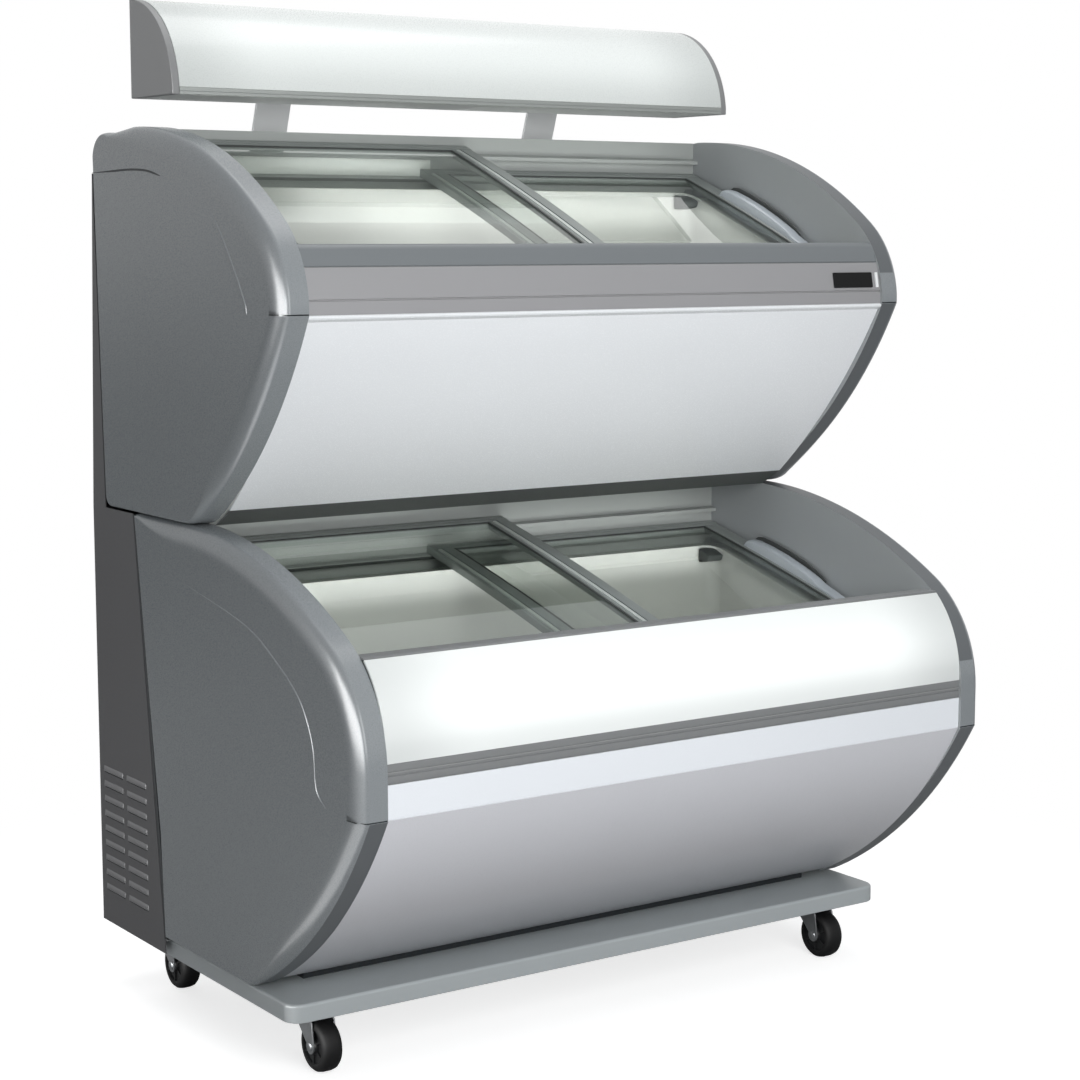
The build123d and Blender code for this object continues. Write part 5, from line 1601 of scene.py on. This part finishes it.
@dataclass
class Canopy:
    """The lit sign canopy on its two bent posts."""

    half: float = 542.0
    cap: float = 12.0
    front: float = 622.0
    back: float = 772.0
    foot: float = 1454.0
    lip: float = 12.0
    top: float = 1608.0
    bulge: float = 38.0
    sheet: float = 3.0
    post_x: float = 270.0
    post_width: float = 64.0
    post_sheet: float = 5.0
    post_foot: float = 1345.0
    bend: float = 1400.0
    upper_bend: float = 1552.0
    head: float = 1596.0
    bend_radius: float = 9.0

    def caps(self) -> None:
        """The moulded end caps, each with a rounded rim."""
        bow = Bow((self.front, self.foot + self.lip), (self.back, self.top), self.bulge)
        former = Former("canopy_end_caps", CAP_GREY)
        profile = bow.points(24) + [(self.back, self.foot), (self.front, self.foot)]
        for x in both_sides(self.half - self.cap, self.half):
            former.prism(profile, x)
        settle(
            former.object(bevel=1.6, segments=3, bevel_from=50.0), replaces=["canopy_caps"]
        )

    def sheets(self) -> None:
        """The opal sheet and the aluminium strip under it, and the finish of the housing and tube."""
        inner = self.half - self.cap
        bow = Bow((self.front, self.foot + self.lip), (self.back - 2, self.top), self.bulge)
        profile = bow.points(30) + bow.points(30, self.sheet)[::-1]
        extruded(
            "canopy_sheet", [CANOPY_ACRYLIC], profile, "sign_acrylic", "canopy_diffuser", inner,
            smooth_to=20.0,
        )
        front, foot, lip = self.front, self.foot, self.lip
        steps = (
            (2, 0.2), (0.8, 0.2), (0, 1.2), (0, 5.0), (0.7, 5.6), (0, 6.2), (0, lip - 0.6), (2, lip - 0.2)
        )
        profile = [(front + back, foot + rise) for back, rise in steps]
        extruded("canopy_lip", [ALUMINIUM], profile, "post_aluminium", "canopy_strip", inner, smooth_to=25.0)
        dress(WHITE_STEEL, "canopy_housing")
        dress(TUBE_WHITE, "canopy_lamp")

    def posts(self) -> None:
        """Flat bars bent forward at the crown and upright again behind the canopy."""
        faces = []
        for sheet, lift in ((0.0, 0.0), (self.post_sheet, 1.0)):
            back, front = CROWN_BACK + sheet, self.back + sheet
            bends = [(back, self.bend + lift), (front, self.upper_bend + lift)]
            faces.append(smooth_bends([(back, self.post_foot), *bends, (front, self.head)], self.bend_radius))
        # The bars' pale finish is painted light.
        former = Former("canopy_post_bars", POST_ALUMINIUM)
        for middle in (-self.post_x, self.post_x):
            former.prism(
                faces[0] + faces[1][::-1], (middle - self.post_width / 2, middle + self.post_width / 2)
            )
        settle(former.object(bevel=1.0, bevel_from=60.0), replaces=["canopy_posts"])

    def build(self) -> None:
        """Makes the canopy."""
        self.caps()
        self.sheets()
        self.posts()


@dataclass
class Platform:
    """The folded steel tray on its casters, and the plinth on it, black as painted shadow."""

    half: float = 573.0
    front: float = 225.0
    back: float = 850.0
    foot: float = 99.0
    sheet: float = 3.0
    corner: float = 26.0
    least_corner: float = 2.0
    roll: float = 5.0
    lip: float = 0.8
    pad: Point = (42.0, 33.0)

    def loop(self, inset: float, z: float) -> list[Vector]:
        """A rounded rectangle of the platform's plan.

        Args:
            inset: How far inside the plan it lies.
            z: Its height.

        Returns:
            The loop's points.
        """
        depth = (self.front + inset, self.back - inset)
        ring = rounded_rectangle(self.half - inset, depth, max(self.least_corner, self.corner - inset), 8)
        return [at(x, spot, z) for x, spot in ring]

    def build(self) -> None:
        """Makes the tray with a rolled top edge and its pads, and dresses the plinth."""
        former = Former("platform_tray", PLATFORM_STEEL)
        top, sheet, foot, lip = PLATFORM_TOP, self.sheet, self.foot, self.lip
        steps = [
            (sheet, top - sheet), (sheet, foot + lip), (sheet - lip, foot), (lip, foot), (0.0, foot + lip)
        ]
        steps.append((0.0, top - self.roll))
        for step in range(1, 6):
            turn = math.pi / 2 * step / 5
            steps.append((self.roll * (1 - math.cos(turn)), top - self.roll * (1 - math.sin(turn))))
        former.loft([self.loop(inset, z) for inset, z in steps])
        wide, deep = self.pad
        for x, depth in caster_spots():
            former.box((x - wide, x + wide), (depth - deep, depth + deep), (foot, top - sheet))
        settle(former.object(smooth_to=35.0), replaces=["base_platform"])
        # The plinth is dressed black as painted shadow in the gap under the body.
        dress(SHADOW_GAP, "plinth")


def caster_spots() -> list[Point]:
    """X and depth of the four caster stems, front left first.

    Returns:
        The four places.
    """
    return [(x, depth) for depth in (305.0, 778.0) for x in (-494.0, 494.0)]


@dataclass
class Caster:
    """One swivel caster: pressed fork, axle, and a rubber-tyred wheel on a nylon hub."""

    name: str
    x: float
    stem: float
    radius: float = 40.0
    width: float = 33.0
    trail: float = 27.0
    crown: float = 85.0
    leg: float = 2.5
    side_gap: float = 1.5
    eye: float = 11.0
    rim: float = 27.5
    rib_count: int = 6

    @property
    def axle(self) -> float:
        """The axle's depth."""
        return self.stem - self.trail

    @property
    def hub(self) -> Vector:
        """The wheel's middle."""
        return at(self.x, self.axle, self.radius)

    def fork(self) -> None:
        """The pressed fork with dished legs, its swivel race and the axle."""
        former = Former(f"fork_{self.name}", ZINC_STEEL)
        inner = self.width / 2 + self.side_gap
        outer = inner + self.leg
        back, front = self.stem + 22.0, self.axle + self.eye
        ring = [(back, self.crown), (back - 1, self.crown - 5)]
        ring += [
            (self.axle + self.eye * math.cos(t), self.radius + self.eye * math.sin(t))
            for t in self.arc()
        ]
        ring += [(front - 16, self.crown - 8), (front - 8, self.crown)]
        for x in both_sides(inner, outer, self.x):
            former.prism(ring, x)
        former.box((self.x - outer, self.x + outer), (front - 8, back), (self.crown - 0.2, self.crown + 2.8))
        race = [(0.01, 2.8), (21.5, 2.8), (21.5, 1.0), (20.0, 0.0), (0.01, 0.0)]
        former.turned(race, at(self.x, self.stem, self.crown), Axis.Z, 32)
        reach = outer + 2.0
        axle = [(0.01, -reach), (5.0, -reach), (6.8, -reach + 1.2), (6.8, -outer), (4.0, -outer)]
        former.turned(mirrored(axle), self.hub, Axis.X, 24)
        body = f"swivel_{self.name}"
        settle(former.object(bevel=0.5, bevel_from=50.0), body, [f"caster_fork_{self.name}"])

    @staticmethod
    def arc() -> list[float]:
        """Angles round the fork's lower eye, from behind the axle to in front of it."""
        return [math.radians(20 - 220 * step / 14) for step in range(15)]

    def wheel(self) -> None:
        """The crowned tyre on its hub, with ribs between hub and rim."""
        former = Former(f"wheel_{self.name}", TYRE, HUB)
        side, radius, rim = -self.width / 2, self.radius, self.rim
        tyre = [(rim, side + 3), (rim, side), (31.0, side - 0.2), (radius - 4.5, side + 1.2)]
        tyre += [(radius - 1.2, side + 5.0), (radius, side + 11.0)]
        former.turned(mirrored(tyre, closed=True), self.hub, Axis.X, 56)
        hub = [
            (4.2, side - 1.2), (11.0, side - 1.2), (12.0, side - 0.2), (12.5, side + 4.5), (26.0, side + 4.5)
        ]
        hub += [(26.6, side + 1.0), (27.6, side + 1.0)]
        former.turned(mirrored(hub, closed=True), self.hub, Axis.X, 40, paint=1)
        body = f"wheel_{self.name}"
        settle(former.object(smooth_to=40.0), body, [f"caster_wheel_{self.name}"])
        self.ribs(body)

    def ribs(self, body: str) -> None:
        """The ribs on each face of the hub.

        Args:
            body: The wheel's body.
        """
        former = Former(f"hub_ribs_{self.name}", HUB)
        half = self.width / 2
        for x in both_sides(half - 4.8, half - 1.4, self.x):
            former.box(x, (self.axle - 1.3, self.axle + 1.3), (self.radius + 11.6, self.radius + 26.8))
        turn = (math.tau / self.rib_count, 0.0, 0.0)
        inputs = {"Count": self.rib_count, "Centre": self.hub, "Turn Each": turn}
        settle(Ring.spread(former.object(), HUB, inputs), body)

    def build(self) -> None:
        """Makes the fork and the wheel."""
        self.fork()
        self.wheel()


@dataclass
class CasterPlates:
    """The four screw plates with their swivel cups and king pins."""

    half_x: float = 42.0
    half_depth: float = 33.0
    top: float = 99.0
    sheet: float = 3.0
    bolt_x: float = 34.0
    bolt_depth: float = 25.0

    def build(self) -> None:
        """Makes the plates and four bolts in each."""
        former = Former("caster_top_plates", ZINC_STEEL)
        foot = self.top - self.sheet
        cup = [(0.01, -10.9), (19.0, -10.9), (21.5, -8.5), (22.0, -3.0), (0.01, -3.0)]
        pin = [
            (0.01, -17.2), (7.0, -17.2), (9.0, -16.0), (9.0, -14.2), (6.0, -14.2), (6.0, -10.8), (0.01, -10.8)
        ]
        for x, depth in caster_spots():
            limits = (depth - self.half_depth, depth + self.half_depth)
            former.box((x - self.half_x, x + self.half_x), limits, (foot, self.top))
            former.turned(cup, at(x, depth, self.top), Axis.Z, 32)
            former.turned(pin, at(x, depth, self.top), Axis.Z, 24)
        settle(former.object(bevel=0.6, bevel_from=50.0), replaces=["caster_plates"])
        for number, (x, depth) in enumerate(caster_spots()):
            bolt = Former(f"caster_bolts_{number}", ZINC_STEEL)
            bolt.turned([(0.01, -2.8), (4.4, -2.6), (5.0, -2.0), (5.0, 0.0), (0.01, 0.0)], ORIGIN, Axis.Z, 6)
            inputs = {
                "Columns": 2,
                "Rows": 2,
                "Start": at(x - self.bolt_x, depth - self.bolt_depth, foot),
                "Column Step": (2 * self.bolt_x * MM, 0.0, 0.0),
                "Row Step": (0.0, 2 * self.bolt_depth * MM, 0.0),
            }
            settle(Rows.spread(bolt.object(), ZINC_STEEL, inputs))


@dataclass
class Column:
    """The machine column: sheets that keep their CAD shape, pressed louvre hoods, seals and screws."""

    louvre_rows: int = 9
    louvre_pitch: float = 25.0
    louvre_foot: float = 160.0
    hood_height: float = 2.0
    side_length: float = 70.0
    side_backs: Span = (842.0, 754.0)
    screws: tuple[int, int] = (8, 3)
    screw_start: Place = (-560.0, 860.1, 830.0)
    screw_steps: tuple[Place, Place] = ((0.16, 0.0, 0.0), (0.0, -0.0117, 0.24))

    def hood(self, name: str, length: float) -> Former:
        """A pressed hood along X that stands proud over its slot.

        Args:
            name: The piece's name.
            length: Its length.

        Returns:
            The piece, still to be finished.
        """
        # Its paler finish is painted light on the sloped top.
        former = Former(name, HOOD_PAINTED_LIGHT)
        section = ((0.0, 12.5), (0.55, 9.5), (1.0, 4.2), (0.8, 3.6), (0.0, 9.0))
        rings = []
        for x, share in ((-0.5, 0.0), (-0.485, 0.7), (-0.46, 1.0), (0.46, 1.0), (0.485, 0.7), (0.5, 0.0)):
            proud = -self.hood_height * share
            rings.append([Vector((x * length * MM, proud * out * MM, rise * MM)) for out, rise in section])
        former.loft(rings)
        return former

    def side_louvres(self, side: Side) -> None:
        """Two banks of hoods on a column side.

        Args:
            side: The side.
        """
        template = self.hood(f"side_louvres_{side.word}", self.side_length + 4).object(smooth_to=50.0)
        template.data.transform(Matrix.Rotation(math.radians(90 * side.value), 4, "Z"))
        depth = self.side_backs[1] - self.side_length / 2
        inputs = {
            "Columns": 2,
            "Rows": self.louvre_rows,
            "Start": at(side.value * COLUMN_HALF, depth, self.louvre_foot - 1.5),
            "Column Step": (0.0, (self.side_backs[0] - self.side_backs[1]) * MM, 0.0),
            "Row Step": (0.0, 0.0, self.louvre_pitch * MM),
        }
        settle(Rows.spread(template, HOOD_PAINTED_LIGHT, inputs))

    def back_screws(self) -> None:
        """Pan-head screws in rows on the leaning back sheet."""
        former = Former("back_sheet_screws", ZINC_STEEL)
        head = [(0.01, -0.6), (3.6, -0.6), (3.6, 0.5), (2.6, 1.4), (1.2, 1.7), (1.2, 0.7), (0.01, 0.7)]
        former.turned(head, ORIGIN, Axis.Z, 12)
        template = former.object()
        template.data.transform(Matrix.Rotation(math.radians(-90), 4, "X"))
        inputs = {
            "Columns": self.screws[0],
            "Rows": self.screws[1],
            "Start": at(*self.screw_start),
            "Column Step": Vector(self.screw_steps[0]),
            "Row Step": Vector(self.screw_steps[1]),
        }
        settle(Rows.spread(template, ZINC_STEEL, inputs))

    def seals(self) -> None:
        """The dark strips that close the gaps between the end panels and the column."""
        former = Former("column_seals", SHADOW_GAP)
        for x in both_sides(HALF + 2, COLUMN_HALF - 1.2):
            former.prism([(618.0, 131.0), (629.5, 131.0), (712.5, 801.0), (702.0, 801.0)], x)
            former.prism([(800.0, 822.0), (817.0, 822.0), (834.0, 1336.0), (820.0, 1336.0)], x)
        settle(former.object(bevel=0.8))

    def build(self) -> None:
        """Dresses the sheets and adds seals, hoods and screws."""
        self.seals()
        dress(DARK_STEEL, "column_side_left", "column_side_right", "column_back", "rear_grille")
        for side in Side:
            self.side_louvres(side)
        self.back_screws()


@dataclass
class Machinery:
    """What stands on the tray behind the louvres, and the controls in the back."""

    knob: Point = (455.0, 400.0)
    floor: float = 842.0
    tick_count: int = 11
    tick_turn: float = 27.0
    ridge_count: int = 24

    @property
    def middle(self) -> Vector:
        """The knob's middle on the floor of the control box."""
        return at(self.knob[0], self.floor, self.knob[1])

    def ticks(self) -> None:
        """A ring of moulded ticks round the thermostat knob."""
        former = Former("thermostat_ticks", BUTTON_WHITE)
        x, z = self.knob
        former.box((x - 0.5, x + 0.5), (self.floor - 0.2, self.floor + 0.6), (z + 21.0, z + 25.5))
        turn = (0.0, math.radians(self.tick_turn), 0.0)
        inputs = {"Count": self.tick_count, "Centre": self.middle, "Turn Each": turn}
        settle(Ring.spread(former.object(), BUTTON_WHITE, inputs))

    def turned_knob(self) -> None:
        """The thermostat knob with a waisted skirt, a raised pointer and grip ridges."""
        former = Former("thermostat_dial", KNOB_ABS, BUTTON_WHITE)
        x, z = self.knob
        profile = [
            (0.01, -11.5), (3.0, -11.5), (3.0, 1.0), (17.9, 1.0), (17.9, 3.0), (15.6, 4.6), (14.6, 13.0)
        ]
        former.turned([*profile, (12.6, 14.8), (0.01, 15.0)], self.middle, Axis.Y, 40)
        former.box((x - 0.8, x + 0.8), (self.floor + 13.0, self.floor + 15.0), (z + 2.0, z + 13.0), paint=1)
        settle(former.object(smooth_to=35.0), "thermostat_knob", ["thermostat_knob"])
        ridge = Former("thermostat_ridges", KNOB_ABS)
        ridge.box((x - 0.6, x + 0.6), (self.floor + 4.8, self.floor + 12.6), (z + 14.0, z + 15.8))
        turn = (0.0, math.tau / self.ridge_count, 0.0)
        inputs = {"Count": self.ridge_count, "Centre": self.middle, "Turn Each": turn}
        settle(Ring.spread(ridge.object(), KNOB_ABS, inputs), "thermostat_knob")

    def build(self) -> None:
        """Dresses the machinery and makes the controls."""
        dress(ZINC_STEEL, "machine_tray")
        dress(BLACK_ENAMEL, "compressor", "condenser", "fan_motor")
        dress(FAN_NYLON, "fan")
        dress(CONTROL_ABS, "control_box")
        dress(BUTTON_WHITE, "light_button")
        dress(KNOB_ABS, "cable_gland")
        self.turned_knob()
        self.ticks()


@dataclass(frozen=True)
class Lamp:
    """A soft rectangular lamp, with its place, aim and size in metres and its power in watts."""

    name: str
    place: Place
    aim: Place
    size: Point
    power: float
    light: Light = Light.BOTH
    spread: float = 180.0

    def hang(self) -> None:
        """Adds the lamp to the scene."""
        data = bpy.data.lights.new(self.name, "AREA")
        data.shape = "RECTANGLE"
        data.size, data.size_y = self.size
        data.energy = self.power
        data.spread = math.radians(self.spread)
        made = bpy.data.objects.new(self.name, data)
        made.location = self.place
        made.rotation_euler = (Vector(self.aim) - Vector(self.place)).to_track_quat("-Z", "Y").to_euler()
        made.visible_camera = False
        made.visible_diffuse = self.light is not Light.GLOSSY
        made.visible_glossy = self.light is not Light.DIFFUSE
        bpy.context.scene.collection.objects.link(made)


# The key and overhead lamps light the whole, the cards only show in gloss, and the rest lift the light
# inside the tanks, on the rear rails, behind the freezer and on the lower deck.
LAMPS = (
    Lamp("key", (-0.7, -3.0, 1.6), (-0.1, 0.0, 0.8), (2.0, 1.8), 66.0),
    Lamp("overhead", (0.2, 0.4, 4.6), (0.0, 0.0, 0.9), (3.2, 2.6), 62.0),
    Lamp("corner_card", (-3.7, -0.75, 1.1), (-0.5, -0.3, 0.9), (4.8, 1.7), 440.0, Light.GLOSSY),
    Lamp("low_card", (-1.3, -0.4, 0.03), (-1.3, -0.4, 1.0), (1.0, 1.0), 12.0, Light.GLOSSY),
    Lamp("up_tank_light", (0.14, 0.039, 1.238), (0.14, 0.414, 0.311), (0.66, 0.34), 1.0, Light.DIFFUSE),
    Lamp("low_tank_light", (0.0, -0.08, 0.617), (0.0, 0.183, -0.348), (0.94, 0.42), 0.62, Light.DIFFUSE),
    Lamp("up_rear_wash", (0.08, 0.10, 1.252), (0.08, 0.27, 1.345), (0.78, 0.03), 0.27, Light.DIFFUSE, 70.0),
    Lamp("low_rear_wash", (0.0, 0.05, 0.652), (0.0, 0.21, 0.725), (0.94, 0.03), 0.32, Light.DIFFUSE, 70.0),
    Lamp("rear_fill", (-0.6, 3.4, 1.9), (0.0, 0.4, 0.8), (2.0, 2.0), 34.0, Light.DIFFUSE),
    Lamp("deck_fill", (0.0, -0.62, 0.72), (0.0, -0.13, 0.89), (1.0, 0.1), 0.3, Light.DIFFUSE, 90.0),
)


@dataclass
class Studio:
    """The plain pale floor, the soft lamps and the camera of the photograph, in metres."""

    place: Place = (-2.119, -3.098, 1.240)
    yaw: float = -34.46
    pitch: float = 7.47
    lens: float = 77.43
    sensor: float = 36.0
    floor_reach: float = 40.0
    floor_fade: Span = (0.75, 1.55)

    def camera(self) -> None:
        """Stands the camera where the photograph was taken from."""
        data = bpy.data.cameras.new("view")
        data.lens = self.lens
        data.sensor_width = self.sensor
        made = bpy.data.objects.new("view", data)
        made.location = self.place
        made.rotation_euler = (math.radians(90 - self.pitch), 0.0, math.radians(self.yaw))
        bpy.context.scene.collection.objects.link(made)
        bpy.context.scene.camera = made

    def floor(self) -> None:
        """Lays the pale floor, which turns plain white away from the freezer."""
        made = bpy.data.materials.new("pale_floor")
        made.use_nodes = True
        tree = made.node_tree
        tree.nodes.clear()
        white = linear("#ffffff")
        place = add(tree, "ShaderNodeTexCoord").outputs["Object"]
        reach = add(tree, "ShaderNodeVectorMath", {0: place}, operation="LENGTH").outputs["Value"]
        limits = {"Value": reach, "From Min": self.floor_fade[0], "From Max": self.floor_fade[1]}
        fade = add(tree, "ShaderNodeMapRange", limits, interpolation_type=SMOOTH).outputs[0]
        seen = add(tree, "ShaderNodeLightPath").outputs["Is Camera Ray"]
        plain = add(tree, "ShaderNodeEmission", {"Color": white, "Strength": 1.0}).outputs[0]
        bounce = add(tree, "ShaderNodeBsdfDiffuse", {"Color": linear("#bdbdbd")}).outputs[0]
        pale = add(tree, "ShaderNodeBsdfDiffuse", {"Color": linear("#c8c8c8")}).outputs[0]
        lift = add(tree, "ShaderNodeEmission", {"Color": white, "Strength": 0.74}).outputs[0]
        near = add(tree, "ShaderNodeAddShader", {0: pale, 1: lift}).outputs[0]
        shown = add(tree, "ShaderNodeMixShader", {0: fade, 1: near, 2: plain}).outputs[0]
        mix = add(tree, "ShaderNodeMixShader", {0: seen, 1: bounce, 2: shown}).outputs[0]
        add(tree, "ShaderNodeOutputMaterial", {"Surface": mix})
        data = bpy.data.meshes.new("floor")
        side = self.floor_reach
        data.from_pydata(
            [(-side, -side, 0), (side, -side, 0), (side, side, 0), (-side, side, 0)], [], [(0, 1, 2, 3)]
        )
        data.materials.append(made)
        floor = bpy.data.objects.new("floor", data)
        bpy.context.scene.collection.objects.link(floor)

    def sky(self) -> None:
        """A soft even surround, plain white to the eye and in reflections."""
        world = bpy.data.worlds.new("studio")
        world.use_nodes = True
        tree = world.node_tree
        tree.nodes.clear()
        rays = add(tree, "ShaderNodeLightPath").outputs
        either = {0: rays["Is Camera Ray"], 1: rays["Is Glossy Ray"]}
        seen = add(tree, "ShaderNodeMath", either, operation="MAXIMUM").outputs[0]
        soft = add(tree, "ShaderNodeBackground", {"Color": linear("#f2f5f8"), "Strength": 0.30}).outputs[0]
        plain = add(tree, "ShaderNodeBackground", {"Color": linear("#ffffff"), "Strength": 1.0}).outputs[0]
        mix = add(tree, "ShaderNodeMixShader", {0: seen, 1: soft, 2: plain}).outputs[0]
        add(tree, "ShaderNodeOutputWorld", {"Surface": mix})
        bpy.context.scene.world = world

    def build(self) -> None:
        """Sets the whole studio up."""
        bpy.context.scene.view_settings.view_transform = "Standard"
        self.camera()
        self.floor()
        self.sky()
        for lamp in LAMPS:
            lamp.hang()


@dataclass
class Freezer:
    """The whole freezer, sub-assembly by sub-assembly."""

    low_lids: Bow = Bow((100.0, 572.0), (650.0, 722.0), 6.0)
    up_lids: Bow = Bow((265.0, 1171.0), (713.0, 1352.0), 6.0)

    def tanks(self) -> list[Tank]:
        """The lower and the upper tank."""
        low = (118.0, 290.0, 205.0, 575.0, LOW_KINK, TANK_LINER, RAIL_PVC)
        up = (286.0, 505.0, 880.0, 655.0, UP_KINK, UP_TANK_LINER, RAIL_PAINTED_LIGHT)
        return [Tank(Deck.LOW, self.low_lids, *low), Tank(Deck.UP, self.up_lids, *up)]

    def build(self) -> None:
        """Makes every sub-assembly in order."""
        Platform().build()
        CasterPlates().build()
        names = ("front_left", "front_right", "rear_left", "rear_right")
        for name, (x, stem) in zip(names, caster_spots()):
            Caster(name, x, stem).build()
        Cheeks().build()
        Fronts().build()
        for tank in self.tanks():
            tank.build()
        for side in Side:
            Lid(Deck.LOW, side, self.low_lids, 612.0, 520.0).build()
            Lid(Deck.UP, side, self.up_lids, 582.0, 600.0).build()
        dress(TANK_RIM, "low_insulation", "up_insulation")
        dress(RAIL_PVC, "low_rails", "up_rails")
        Column().build()
        Machinery().build()
        Canopy().build()


def main() -> None:
    """Builds the freezer and its studio."""
    Freezer().build()
    Studio().build()


if __name__ == "__main__":
    main()
